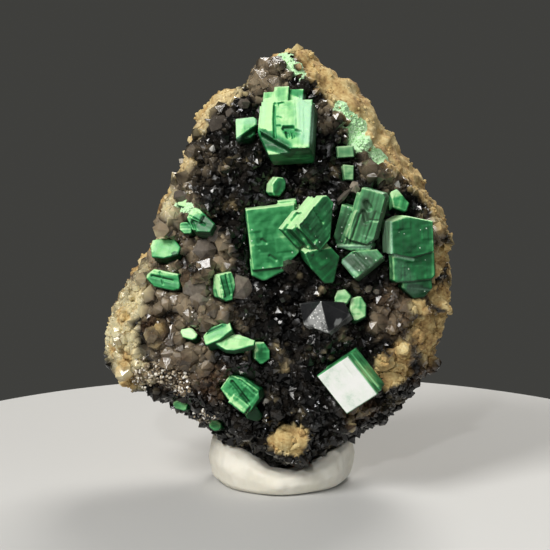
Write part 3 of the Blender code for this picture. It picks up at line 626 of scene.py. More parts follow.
def cut_square(width, height, cuts, inset):
    """Outline of a rectangle with its corners cut, brought in by the inset."""
    half_x = width / 2 - inset
    half_y = height / 2 - inset
    corners = [
        (-half_x, -half_y, (0, 1), (1, 0)),
        (half_x, -half_y, (-1, 0), (0, 1)),
        (half_x, half_y, (0, -1), (-1, 0)),
        (-half_x, half_y, (1, 0), (0, -1)),
    ]
    outline = []
    for (x, y, before, after), cut in zip(corners, cuts):
        cut = cut or CORNER_ROUNDING
        cut_x, cut_y = cut if isinstance(cut, tuple) else (cut, cut)
        slant = math.hypot(cut_x, cut_y)
        left_x = max(cut_x - inset * (cut_x + cut_y - slant) / cut_y, 0.001)
        left_y = max(cut_y - inset * (cut_x + cut_y - slant) / cut_x, 0.001)
        for step_x, step_y in (before, after):
            outline.append((x + step_x * left_x, y + step_y * left_y))
    return outline


def frame_matrix(at, turn):
    """Place of a crystal lattice from its middle and its yaw, pitch and roll."""
    yaw, pitch, roll = (math.radians(angle) for angle in turn)
    spin = Matrix.Rotation(yaw, 4, "Z") @ Matrix.Rotation(math.pi / 2 - pitch, 4, "X")
    return Matrix.Translation(at) @ spin @ Matrix.Rotation(roll, 4, "Z")


def add_skin(bm, rings):
    """Closed skin over rings of points that have the same count."""
    loops = [[bm.verts.new(point) for point in ring] for ring in rings]
    count = len(loops[0])
    for lower, upper in zip(loops, loops[1:]):
        for side in range(count):
            after = (side + 1) % count
            bm.faces.new((lower[side], lower[after], upper[after], upper[side]))
    bm.faces.new(loops[0][::-1])
    bm.faces.new(loops[-1])


def add_growth(bm, block, chance):
    """One tablet of a crystal as a pile of growth layers, each a little larger or
    smaller than the one below."""
    across, up, face, width, height, thick, cuts = block
    depth = face - thick
    levels = []
    while depth < face - GROWTH_LAYER:
        inset = chance.uniform(0.0, LAYER_STEP)
        top = depth + GROWTH_LAYER * chance.uniform(0.4, 1.3)
        top = min(top, face - 0.1)
        levels += [(depth, inset), (top - 0.015, inset)]
        depth = top
    levels += [(depth, 0.0), (face - BEVEL, 0.0), (face, BEVEL)]
    rings = []
    for level, inset in levels:
        outline = cut_square(width, height, cuts, inset)
        rings.append([Vector((across + x, up + y, level)) for x, y in outline])
    add_skin(bm, rings)


def plain_block(bm, place, block):
    """One tablet of a crystal as a plain prism."""
    across, up, face, width, height, thick, cuts = block
    outline = cut_square(width, height, cuts, 0.0)
    add_skin(bm, [
        [place @ Vector((across + x, up + y, level)) for x, y in outline]
        for level in (face - thick, face)])


def remeshed(mesh, voxel):
    """Even skin over a mesh, as points, normals and faces."""
    thing = bpy.data.objects.new("even_skin", mesh)
    bpy.context.scene.collection.objects.link(thing)
    modifier = thing.modifiers.new("even", "REMESH")
    modifier.mode = "VOXEL"
    modifier.voxel_size = voxel
    graph = bpy.context.evaluated_depsgraph_get()
    result = bpy.data.meshes.new_from_object(thing.evaluated_get(graph))
    bpy.data.objects.remove(thing, do_unlink=True)
    count = len(result.vertices)
    points = np.empty(count * 3)
    result.vertices.foreach_get("co", points)
    normals = np.empty(count * 3)
    result.vertices.foreach_get("normal", normals)
    faces = [tuple(face.vertices) for face in result.polygons]
    bpy.data.meshes.remove(result)
    return points.reshape(-1, 3), normals.reshape(-1, 3), faces


def node_mesh(name):
    """Copy of the mesh of one node of the CAD model, in millimetres."""
    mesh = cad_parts[name].data.copy()
    mesh.transform(Matrix.Scale(1 / MM, 4))
    return mesh


def point_normals(points, faces):
    """Normals of the points of a mesh."""
    mesh = bpy.data.meshes.new("measure")
    mesh.from_pydata(points.tolist(), [], faces)
    mesh.update()
    normals = np.empty(len(points) * 3)
    mesh.vertices.foreach_get("normal", normals)
    bpy.data.meshes.remove(mesh)
    return normals.reshape(-1, 3)


def make_piece(name, points, faces, material, stands_for=(), marks=None, smooth=True):
    """Object of one mesh, from millimetres, that rides on the specimen."""
    mesh = bpy.data.meshes.new(name)
    mesh.from_pydata((np.asarray(points) * MM).tolist(), [], faces)
    for mark, values in (marks or {}).items():
        layer = mesh.attributes.new(mark, "FLOAT", "POINT")
        layer.data.foreach_set("value", np.asarray(values, dtype=np.float32))
    if smooth:
        mesh.polygons.foreach_set("use_smooth", [True] * len(mesh.polygons))
    mesh.materials.append(material)
    mesh.update()
    thing = bpy.data.objects.new(name, mesh)
    bpy.context.scene.collection.objects.link(thing)
    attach(thing, "root")
    if stands_for:
        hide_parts(*stands_for)


def spot_sum(zones, points, reach=1.0):
    """How strongly each point lies in the round zones."""
    total = np.zeros(len(points))
    for x, z, radius, strength in zones:
        away = np.hypot(points[:, 0] - x, points[:, 2] - z) / (radius * reach)
        total = np.maximum(total, strength * (1.0 - ease(away, 0.55, 1.25)))
    return total


def lump_rise(px, py):
    """Rise of the lumps of host rock at places of the picture."""
    rise = np.zeros(len(px))
    for mid_x, mid_y, half_x, half_y, height in LUMPS:
        x, y = (px - mid_x) / half_x, (py - mid_y) / half_y
        away = np.maximum(np.abs(x * 0.9 + y * 0.35), np.abs(y * 0.95 - x * 0.3))
        away = np.maximum(away, np.hypot(x, y) * 0.85)
        rise = np.maximum(rise, height * (1.0 - ease(away, 0.72, 0.95)))
    return rise


def zone_marks(points, normals):
    """Marks of the rock's zones at each point: tan host rock, grey quartz, pale
    quartz, mint powder and brown stain."""
    x, y, z = points.T
    wave = rough(points, 0.7) + 0.5 * rough(points, 2.1, 5.0)
    rim = ease(x - along(DRUSE_EDGE, z) + 0.5 * wave, -0.2, 0.35)
    side = 1.6 * ease(x, 8.0, 10.5)
    back = ease(y - along(OUTLINE_DEPTH, z) + side + 0.9 * wave, -0.7, 0.3)
    tan = np.maximum(rim, back)
    bare = ease(along(LEFT_EDGE, z) + BARE_EDGE + 0.5 * wave - x, 0.0, 0.3)
    bare *= ease(z, 21.8, 22.8) * (1.0 - ease(z, 28.4, 29.2)) * ease(y + 1.5 * wave, -1.9, -0.9)
    tan = np.maximum(tan, 0.55 * bare)
    front = ease(along(OUTLINE_DEPTH, z) - y, -0.5, 0.5)
    tan = np.maximum(tan, front * ease(spot_sum(TAN_ZONES, points) + 0.6 * wave, 0.35, 0.75))
    grey = front * ease(spot_sum(GREY_ZONES, points) + 0.5 * wave, 0.2, 0.7)
    patches = ease(rough(points, 0.26, 61.0) + 0.3 * wave, 0.12, 0.26)
    grey = np.maximum(grey, back * patches)
    tan *= 1.0 - 0.6 * back * patches
    pale = front * ease(spot_sum(PALE_ZONES, points) + 0.5 * wave, 0.2, 0.8)
    pale = np.maximum(pale, bare)
    px, py = picture_places(points)
    facing = ease(-toward(normals, camera_axes()[3]), -0.3, 0.15)
    tan = np.maximum(tan, ease(lump_rise(px, py) * facing * front, 0.05, 0.25))
    mint = np.zeros(len(points))
    for mid_x, mid_y, half_x, half_y in MINT_PATCHES:
        away = np.hypot((px - mid_x) / half_x, (py - mid_y) / half_y)
        mint = np.maximum(mint, 1.0 - ease(away + 0.35 * wave, 0.9, 1.15))
    mint *= facing * ease(3.2 - y, 0.0, 1.0)
    brown = front * ease(spot_sum(BROWN_ZONES, points) + 0.7 * wave, 0.25, 0.8)
    return {
        "tan_rock": tan, "grey_quartz": grey, "pale_quartz": pale, "mint_powder": mint,
        "brown_stain": brown,
    }


class Wire:
    """Output of a shader node; sums on it add Math nodes."""

    def __init__(self, finish, socket):
        self.finish = finish
        self.socket = socket

    def maths(self, operation, first, second):
        """Wire of one Math node."""
        return self.finish.add("ShaderNodeMath", {"operation": operation}, {0: first, 1: second})

    def __add__(self, other):
        return self.maths("ADD", self, other)

    def __radd__(self, other):
        return self.maths("ADD", other, self)

    def __sub__(self, other):
        return self.maths("SUBTRACT", self, other)

    def __rsub__(self, other):
        return self.maths("SUBTRACT", other, self)

    def __mul__(self, other):
        return self.maths("MULTIPLY", self, other)

    def __rmul__(self, other):
        return self.maths("MULTIPLY", other, self)

    def __gt__(self, other):
        return self.maths("GREATER_THAN", self, other)

    def __lt__(self, other):
        return self.maths("LESS_THAN", self, other)


class Finish:
    """A material and the nodes of its pattern."""

    def __init__(self, name, **constants):
        self.material = bpy.data.materials.new(name)
        self.material.use_nodes = True
        self.tree = self.material.node_tree
        self.shader = self.tree.nodes["Principled BSDF"]
        for socket, value in constants.items():
            self.shader.inputs[socket.replace("_", " ")].default_value = value
        self.place = self.add("ShaderNodeTexCoord", {}, {}, "Object")

    def add(self, kind, settings, inputs, output=0):
        """Node of one type with its settings and inputs, as the wire of one output."""
        node = self.tree.nodes.new(kind)
        for setting, value in settings.items():
            if setting == "stops":
                self.set_stops(node.color_ramp, value)
            else:
                setattr(node, setting, value)
        for socket, value in inputs.items():
            self.feed(node.inputs[socket], value)
        return Wire(self, node.outputs[output])

    def set_stops(self, ramp, stops):
        """Colours of a ramp, as (place, colour)."""
        while len(ramp.elements) < len(stops):
            ramp.elements.new(0.5)
        for element, (place, color) in zip(ramp.elements, stops):
            element.position = place
            element.color = (*color[:3], 1.0)

    def feed(self, socket, value):
        """Link a wire to a socket, or set the socket's value."""
        if isinstance(value, Wire):
            self.tree.links.new(value.socket, socket)
        elif isinstance(value, tuple) and len(value) == 3 and socket.type == "RGBA":
            socket.default_value = (*value, 1.0)
        else:
            socket.default_value = value

    def put(self, name, value):
        """Feed one input of the surface shader."""
        self.feed(self.shader.inputs[name], value)

    def mark(self, name):
        """One of the mesh's own marks."""
        return self.add("ShaderNodeAttribute", {"attribute_name": name}, {}, "Fac")

    def grain(self, per_mm, detail=3.0, roughness=0.55):
        """Noise with a number of grains to the millimetre."""
        return self.add(
            "ShaderNodeTexNoise", {},
            {"Vector": self.place, "Scale": per_mm / MM, "Detail": detail, "Roughness": roughness})

    def blend(self, share, low, high):
        """Mix of two colours."""
        return self.add(
            "ShaderNodeMix", {"data_type": "RGBA", "clamp_factor": True},
            {0: share, 6: low, 7: high}, 2)

    def ramp(self, value, *stops):
        """Colour ramp over a value."""
        return self.add("ShaderNodeValToRGB", {"stops": stops}, {0: value})

    def span(self, value, low, high, to_low=0.0, to_high=1.0):
        """Smooth step of a value from one range to another."""
        return self.add(
            "ShaderNodeMapRange", {"interpolation_type": "SMOOTHSTEP"},
            {0: value, 1: low, 2: high, 3: to_low, 4: to_high})

    def bump(self, height, strength, depth_mm):
        """Low relief of the surface."""
        normal = self.add(
            "ShaderNodeBump", {}, {"Strength": strength, "Distance": depth_mm * MM, "Height": height})
        self.put("Normal", normal)


def tone(name):
    """One colour of the settings."""
    return tuple(getattr(bpy.context.scene.specimen_colors, name))


def rock_finish(name, roughness, **constants):
    """Quartz and host rock whose colours follow the mesh's zones, with painted shade at the crystals'
    feet.
    """
    finish = Finish(name, **constants)
    coarse = finish.grain(0.9)
    fine = finish.grain(5.0)
    each = finish.mark("shade")
    smoke = finish.span(coarse, 0.4, 0.7)
    dark = finish.blend(smoke, tone("black_quartz"), tone("smoky_quartz"))
    # Painted shade: quartz darker at the crystals' feet and paler at their tips, and the rock between
    # them, which has no rise, darker still
    rise = finish.mark("rise")
    grey_mix = finish.span(coarse * 0.5 + fine * 0.15 + each * 0.45 + rise * 0.4, 0.45, 1.15)
    grey = finish.blend(grey_mix, tone("grey_quartz"), tone("light_quartz"))
    stain = finish.grain(0.22, 4.0)
    tan = finish.ramp(
        coarse * 0.35 + fine * 0.35 + stain * 0.35 + each * 0.1,
        (0.43, tone("brown_rock")), (0.52, tone("ochre_rock")),
        (0.61, tone("tan_rock")), (0.74, tone("pale_rock")))
    color = finish.blend(finish.mark("grey_quartz"), dark, grey)
    stained = finish.blend(finish.span(fine, 0.35, 0.7), STAIN_SHADE, tone("brown_quartz"))
    color = finish.blend(finish.mark("brown_stain") * 0.6, color, stained)
    cream = finish.span(coarse + rise * 0.25, 0.34, 0.64)
    pale = finish.blend(cream, tone("amber_quartz"), tone("pale_quartz"))
    color = finish.blend(finish.mark("pale_quartz") * 0.85, color, pale)
    color = finish.blend(finish.mark("tan_rock"), color, tan)
    mint = finish.blend(finish.span(fine, 0.35, 0.65), tone("mint_powder"), MINT_LIGHT)
    color = finish.blend(finish.span(finish.mark("mint_powder"), 0.15, 0.5), color, mint)
    finish.put("Base Color", color)
    dull = finish.span(finish.mark("tan_rock") + finish.mark("mint_powder"), 0.2, 0.9)
    finish.put("Roughness", dull * (0.85 - roughness) + roughness + fine * 0.1)
    finish.bump(fine + finish.grain(14.0) * 0.5, 0.35, 0.05)
    return finish.material


def crystal_finish(name, shift, dullness, specks):
    """Torbernite with painted light and shade: paler on the faces that look up and to the left, with
    painted highlights on the edges.
    """
    finish = Finish(
        name, Specular_IOR_Level=0.3, Coat_Weight=0.06, Coat_Roughness=0.2, Subsurface_Weight=0.15,
        Subsurface_Radius=(0.35, 1.0, 0.5), Subsurface_Scale=0.0004)
    # Painted light and shade: the colour runs from deep green to pale mint as a face turns toward the
    # lights
    normal = finish.add("ShaderNodeNewGeometry", {}, {}, "Normal")
    facing = finish.add(
        "ShaderNodeVectorMath", {"operation": "DOT_PRODUCT"},
        {0: normal, 1: PAINTED_LIGHT_SIDE}, "Value")
    edge = finish.span(finish.add("ShaderNodeNewGeometry", {}, {}, "Pointiness"), 0.515, 0.58)
    cloud = finish.grain(1.1, 4.0)
    fine = finish.grain(7.0)
    # Strokes shift the level: partly the crystal's own tone, partly painted light and painted shade
    level = finish.span(facing, -0.6, 1.15) * 1.05 + finish.mark("tint") * 0.8
    # Painted highlights: paler on sharp edges and near the edges of each tablet's main face
    level = level + edge * 0.1 + finish.mark("glow") * 0.13
    level = level + (cloud - 0.5) * 0.3 + (fine - 0.5) * 0.08 + shift
    color = finish.ramp(
        level,
        (0.25, tone("deep_green")), (0.55, tone("emerald")),
        (0.74, tone("bright_green")), (0.92, tone("mint")), (1.0, tone("pale_mint")))
    color = finish.blend(dullness, color, tone("dull_green"))
    # Painted sheen: whitish streaks where the faces catch the light
    frost = finish.mark("frost") * finish.span(fine, 0.3, 0.6, 0.6, 1.0)
    color = finish.blend(frost, color, tone("frost"))
    if specks:
        cell = {"feature": "F1"}
        place = {"Vector": finish.place, "Scale": 2.6 / MM}
        dots = finish.add("ShaderNodeTexVoronoi", cell, place, "Distance") < 0.13
        chosen = finish.add("ShaderNodeTexVoronoi", cell, place, "Color")
        pick = finish.add("ShaderNodeSeparateColor", {}, {0: chosen}) > 0.72
        color = finish.blend(dots * pick * 0.8, color, SPECK_COLOR)
    finish.put("Base Color", color)
    finish.put("Roughness", 0.3 + fine * 0.25)
    finish.bump(fine * 0.6 + finish.grain(18.0), 0.25, 0.02)
    return finish.material


def crumb_finish():
    """Crumbs of quartz, from brown to nearly white; the nearly white ones are painted glints."""
    finish = Finish("bright_crumbs", Coat_Weight=0.6, Coat_Roughness=0.05)
    fine = finish.grain(4.0)
    # The nearly white top of the ramp is painted glints
    color = finish.ramp(finish.mark("shade") + (fine - 0.5) * 0.3, *CRUMB_STOPS)
    finish.put("Base Color", color)
    finish.put("Roughness", 0.15 + fine * 0.2)
    finish.bump(fine, 0.2, 0.03)
    return finish.material


def pearly_finish():
    """The pearly plate: a cleavage face painted nearly white as a painted pearly reflection, over green
    sides.
    """
    finish = Finish("pearly_torbernite", Coat_Weight=0.8, Coat_Roughness=0.08)
    face = finish.mark("face")
    cloud = finish.grain(0.8, 4.0)
    fine = finish.grain(9.0)
    # Painted reflection: the cleavage face is painted nearly white
    pearl_reflection = finish.ramp(cloud * 0.8 + fine * 0.2, *PEARL_REFLECTION_STOPS)
    # The sides follow the strokes, partly own tone and partly painted light and shade
    side = finish.ramp(
        cloud + finish.mark("tint"),
        (0.3, tone("deep_green")), (0.55, tone("bright_green")), (0.8, tone("mint")))
    finish.put("Base Color", finish.blend(face, side, pearl_reflection))
    finish.put("Roughness", 0.4 - face * 0.15 + fine * 0.1)
    finish.bump(fine, 0.2, 0.02)
    return finish.material


def putty_finish():
    """Soft warm white putty, a little greasy, with faint smears."""
    finish = Finish(
        "white_putty", Subsurface_Weight=0.25, Subsurface_Radius=(1.0, 0.8, 0.6),
        Subsurface_Scale=0.0008)
    smear = finish.grain(0.35, 5.0)
    fine = finish.grain(3.0)
    color = finish.blend(finish.span(smear, 0.35, 0.7), tone("putty_shade"), tone("putty"))
    finish.put("Base Color", color)
    finish.put("Roughness", 0.5 + fine * 0.25)
    finish.bump(smear + fine * 0.4, 0.3, 0.15)
    return finish.material


@functools.lru_cache(maxsize=1)
def rock_shape(grid):
    """Rock of the CAD model with a rough even skin: points, normals and faces."""
    points, normals, faces = remeshed(node_mesh("matrix"), grid / MM)
    marks = zone_marks(points, normals)
    tan = marks["tan_rock"] * (1.0 - 0.8 * marks["mint_powder"])
    broad = rough(points, 0.9, 3.0)
    crumbly = rough(points, 2.2, 11.0)
    sharp = rough(points, 4.5, 23.0)
    rim = ease(points[:, 0] - along(DRUSE_EDGE, points[:, 2]), 0.0, 0.6)
    lift = tan * (0.55 * broad + (0.34 * crumbly + 0.18 * sharp) * (1.0 - 0.6 * rim))
    lift += (1.0 - tan) * (0.12 * crumbly + 0.1 * sharp)
    deep = ease(points[:, 1] - along(OUTLINE_DEPTH, points[:, 2]), -0.5, 1.5)
    lift += deep * (0.9 * rough(points, 0.33, 41.0) + 1.5 * chipped(points, 0.4) - 0.3)
    lift += deep * 0.5 * chipped(points, 1.2)
    lift *= ease(points[:, 2], 2.2, 4.2)
    lift = np.clip(lift, -0.45 - 0.7 * deep, 0.35)
    front = ease(-normals[:, 1], 0.1, 0.5) * (1.0 - deep)
    lumps = lump_rise(*picture_places(points)) * front
    lift = lift * (1.0 - 0.8 * ease(lumps, 0.0, 0.3))
    lift += lumps * (0.9 + 1.3 * chipped(points, 0.8) + 0.6 * chipped(points, 2.0))
    points = points + normals * lift[:, None]
    return points, point_normals(points, faces), faces


def hexagon(width, height):
    """Corners of a level hexagon."""
    turns = [math.tau * side / 6 for side in range(6)]
    return [Vector((math.cos(turn) * width / 2, math.sin(turn) * width / 2, height)) for turn in turns]


def pyramid_ring(share, height):
    """Corners of the great quartz pyramid at one height, its upper sides short."""
    axis = Vector(PYRAMID_AXIS).normalized()
    place = Matrix.Translation(PYRAMID_AT) @ axis.to_track_quat("Z", "Y").to_matrix().to_4x4()
    spin = Matrix.Rotation(math.radians(PYRAMID_SPIN), 4, "Z")
    corners = [spin @ corner for corner in hexagon(PYRAMID_WIDTH * share, height)]
    for corner in corners:
        corner.y *= PYRAMID_UPPER if corner.y > 0.0 else 1.0
    return [place @ corner for corner in corners]


def clear_tree():
    """Search tree over what no small crystal may hide: the green crystals and the
    great pyramid."""
    bm = bmesh.new()
    for frames in CRYSTALS.values():
        for at, turn, blocks in frames:
            for block in blocks:
                plain_block(bm, frame_matrix(at, turn), block)
    add_skin(bm, [
        pyramid_ring(share, height)
        for height, share in ((PYRAMID_BODY, 1.0), (PYRAMID_BODY + PYRAMID_TIP, 0.02))])
    bmesh.ops.triangulate(bm, faces=bm.faces[:])
    tree = BVHTree.FromBMesh(bm)
    bm.free()
    return tree


def quartz_point(foot, axis, width, body, tip, chance, sink=0.4):
    """Points of one six-sided quartz crystal, with uneven sides."""
    place = Matrix.Translation(foot) @ axis.to_track_quat("Z", "Y").to_matrix().to_4x4()
    place = place @ Matrix.Rotation(chance.uniform(0, math.tau), 4, "Z")
    sides = []
    for side in range(6):
        turn = math.tau * side / 6
        reach = width / 2 * chance.uniform(0.82, 1.15)
        sides.append((math.cos(turn) * reach, math.sin(turn) * reach))
    low = [place @ Vector((x, y, -sink * width)) for x, y in sides]
    high = [place @ Vector((x, y, body * chance.uniform(0.7, 1.1))) for x, y in sides]
    lean = width * 0.14
    apex = place @ Vector((chance.uniform(-lean, lean), chance.uniform(-lean, lean), body + tip))
    return low + high + [apex]


def quartz_faces():
    """Faces of a six-sided quartz crystal: its foot, its sides and its tip's sides."""
    faces = [(5, 4, 3, 2, 1, 0)]
    for side in range(6):
        after = (side + 1) % 6
        faces += [(side, after, 6 + after, 6 + side), (6 + side, 6 + after, 12)]
    return faces


QUARTZ_FACES = quartz_faces()
# How far out each point of a quartz crystal stands, from foot to tip; the finish paints shade at the feet
QUARTZ_RISES = [0.0] * 6 + [0.6] * 6 + [1.0]


class Heap:
    """Many small closed bodies gathered in one mesh."""

    def __init__(self):
        self.points = []
        self.faces = []
        self.shades = []
        self.rises = []

    def add(self, points, faces, shade, rises):
        """Add one body, with its shade and how far out each point stands."""
        start = len(self.points)
        self.rises += rises
        self.points += [tuple(point) for point in points]
        self.faces += [tuple(start + corner for corner in face) for face in faces]
        self.shades += [shade] * len(points)


def heap_piece(name, heap, material):
    """Piece made of a heap, with the marks of the zones it lies in."""
    points = np.array(heap.points)
    marks = zone_marks(points, np.tile((0.0, -1.0, 0.0), (len(points), 1)))
    marks["shade"] = heap.shades
    marks["rise"] = heap.rises
    if "mint" not in name:
        marks["mint_powder"] *= 0.0
    make_piece(name, points, heap.faces, material, marks=marks, smooth=False)


def spread(points, faces, weights, count, seed):
    """Places strewn on a mesh, more where the weights are high, and for each a point of
    the mesh beside it."""
    triangles = []
    for face in faces:
        for corner in range(1, len(face) - 1):
            triangles.append((face[0], face[corner], face[corner + 1]))
    triangles = np.array(triangles)
    a, b, c = (points[triangles[:, corner]] for corner in range(3))
    across = np.cross(b - a, c - a)
    areas = np.linalg.norm(across, axis=1)
    shares = areas * weights[triangles[:, 0]]
    chance = np.random.default_rng(seed)
    picks = chance.choice(len(triangles), size=count, p=shares / shares.sum())
    u = chance.random(count)
    v = chance.random(count)
    over = u + v > 1
    u[over], v[over] = 1 - u[over], 1 - v[over]
    places = a[picks] + (b[picks] - a[picks]) * u[:, None] + (c[picks] - a[picks]) * v[:, None]
    return places, triangles[picks, 0]


def grain_body(chance, foot, axis, size):
    """Points of one rounded grain."""
    place = Matrix.Translation(foot) @ axis.to_track_quat("Z", "Y").to_matrix().to_4x4()
    stretch = Vector([chance.uniform(0.75, 1.25) for _ in range(3)])
    points = []
    for x, y, z in GRAIN_POINTS:
        reach = size / 2 * chance.uniform(0.85, 1.15)
        away = Vector((x * stretch.x, y * stretch.y, z * stretch.z)) * reach
        points.append(place @ away)
    return points


def grain_shape():
    """Points and faces of the solid that a grain is made from."""
    bm = bmesh.new()
    bmesh.ops.create_icosphere(bm, subdivisions=1, radius=1.0)
    points = [tuple(vert.co) for vert in bm.verts]
    faces = [tuple(vert.index for vert in face.verts) for face in bm.faces]
    bm.free()
    return points, faces


GRAIN_POINTS, GRAIN_FACES = grain_shape()


class SpecimenSizes(bpy.types.PropertyGroup):
    """Sizes of the specimen's detail."""
    rock_grid: bpy.props.FloatProperty(
        name="Rock grid", description="Width of a face of the rock's skin",
        default=0.00017, unit="LENGTH")
    quartz_count: bpy.props.IntProperty(
        name="Quartz crystals", description="Places tried for small quartz crystals", default=12000)
    grain_count: bpy.props.IntProperty(
        name="Rock grains", description="Places tried for grains of the host rock", default=4400)
    powder_count: bpy.props.IntProperty(
        name="Powder grains", description="Grains of mint powder", default=900)
    crumb_count: bpy.props.IntProperty(
        name="Quartz crumbs", description="Crumbs that sparkle on the quartz", default=700)
    quartz_width: bpy.props.FloatProperty(
        name="Quartz width", description="Width of a usual small quartz crystal",
        default=0.00044, unit="LENGTH")
    floor_radius: bpy.props.FloatProperty(
        name="Floor radius", description="Reach of the pale floor", default=0.034, unit="LENGTH")


def color_property(name, description, default):
    """Colour that a user can change."""
    return bpy.props.FloatVectorProperty(
        name=name, description=description, default=default, subtype="COLOR", size=3,
        min=0.0, max=1.0)


class SpecimenColors(bpy.types.PropertyGroup):
    """Colours of the specimen."""
    black_quartz: color_property("Black quartz", "Darkest druse", (0.003, 0.003, 0.003))
    smoky_quartz: color_property("Smoky quartz", "Lighter druse", (0.018, 0.015, 0.012))
    grey_quartz: color_property("Grey quartz", "Grey-brown quartz", (0.035, 0.026, 0.018))
    light_quartz: color_property("Light quartz", "Lighter grey quartz", (0.36, 0.285, 0.19))
    amber_quartz: color_property("Amber quartz", "Browner quartz of the left outline", (0.48, 0.36, 0.18))
    brown_quartz: color_property("Brown quartz", "Quartz stained by the host rock", (0.17, 0.105, 0.06))
    pale_quartz: color_property("Pale quartz", "Quartz of the left outline", (0.95, 0.83, 0.5))
    brown_rock: color_property("Brown rock", "Darkest host rock", (0.2, 0.115, 0.045))
    ochre_rock: color_property("Ochre rock", "Stained host rock", (0.46, 0.3, 0.115))
    tan_rock: color_property("Tan rock", "Usual host rock", (0.6, 0.455, 0.2))
    pale_rock: color_property("Pale rock", "Palest host rock", (0.8, 0.67, 0.36))
    mint_powder: color_property("Mint powder", "Powder on the rock", (0.48, 0.79, 0.42))
    # Deep green to pale mint are the stops of the crystals' painted light and shade, from faces turned
    # away from the lights to faces turned toward them
    deep_green: color_property("Deep green", "Faces in shade", (0.005, 0.05, 0.015))
    emerald: color_property("Emerald", "Usual crystal face", (0.016, 0.18, 0.052))
    bright_green: color_property("Bright green", "Brighter crystal face", (0.065, 0.38, 0.13))
    dull_green: color_property("Dull green", "Greyer crystals", (0.11, 0.18, 0.11))
    mint: color_property("Mint", "Pale crystal face", (0.3, 0.68, 0.28))
    pale_mint: color_property("Pale mint", "Palest crystal face", (0.52, 0.84, 0.42))
    # Colour of the painted sheen and painted highlights on the crystals
    frost: color_property("Frost", "Whitish frost on the crystals", (0.4, 0.72, 0.5))
    putty: color_property("Putty", "Putty in the light", (0.8, 0.77, 0.68))
    putty_shade: color_property("Putty shade", "Smears on the putty", (0.7, 0.67, 0.57))
    floor: color_property("Floor", "The plain floor", (0.55, 0.55, 0.54))
    backdrop: color_property("Backdrop", "What lies round the floor", (0.05, 0.05, 0.046))


class SPECIMEN_OT_rock(bpy.types.Operator):
    """Rock with its host-rock rim, dark druse skin and mint powder"""
    bl_idname = "specimen.rock"
    bl_label = "Rock"

    def execute(self, context):
        """Make the rock's skin from the CAD model's rock."""
        points, normals, faces = rock_shape(context.scene.specimen_sizes.rock_grid)
        marks = zone_marks(points, normals)
        marks["shade"] = 0.5 + rough(points, 1.3, 31.0)
        make_piece(
            "rock", points, faces, rock_finish("druse_rock", 0.3),
            stands_for=("matrix",), marks=marks)
        return {"FINISHED"}


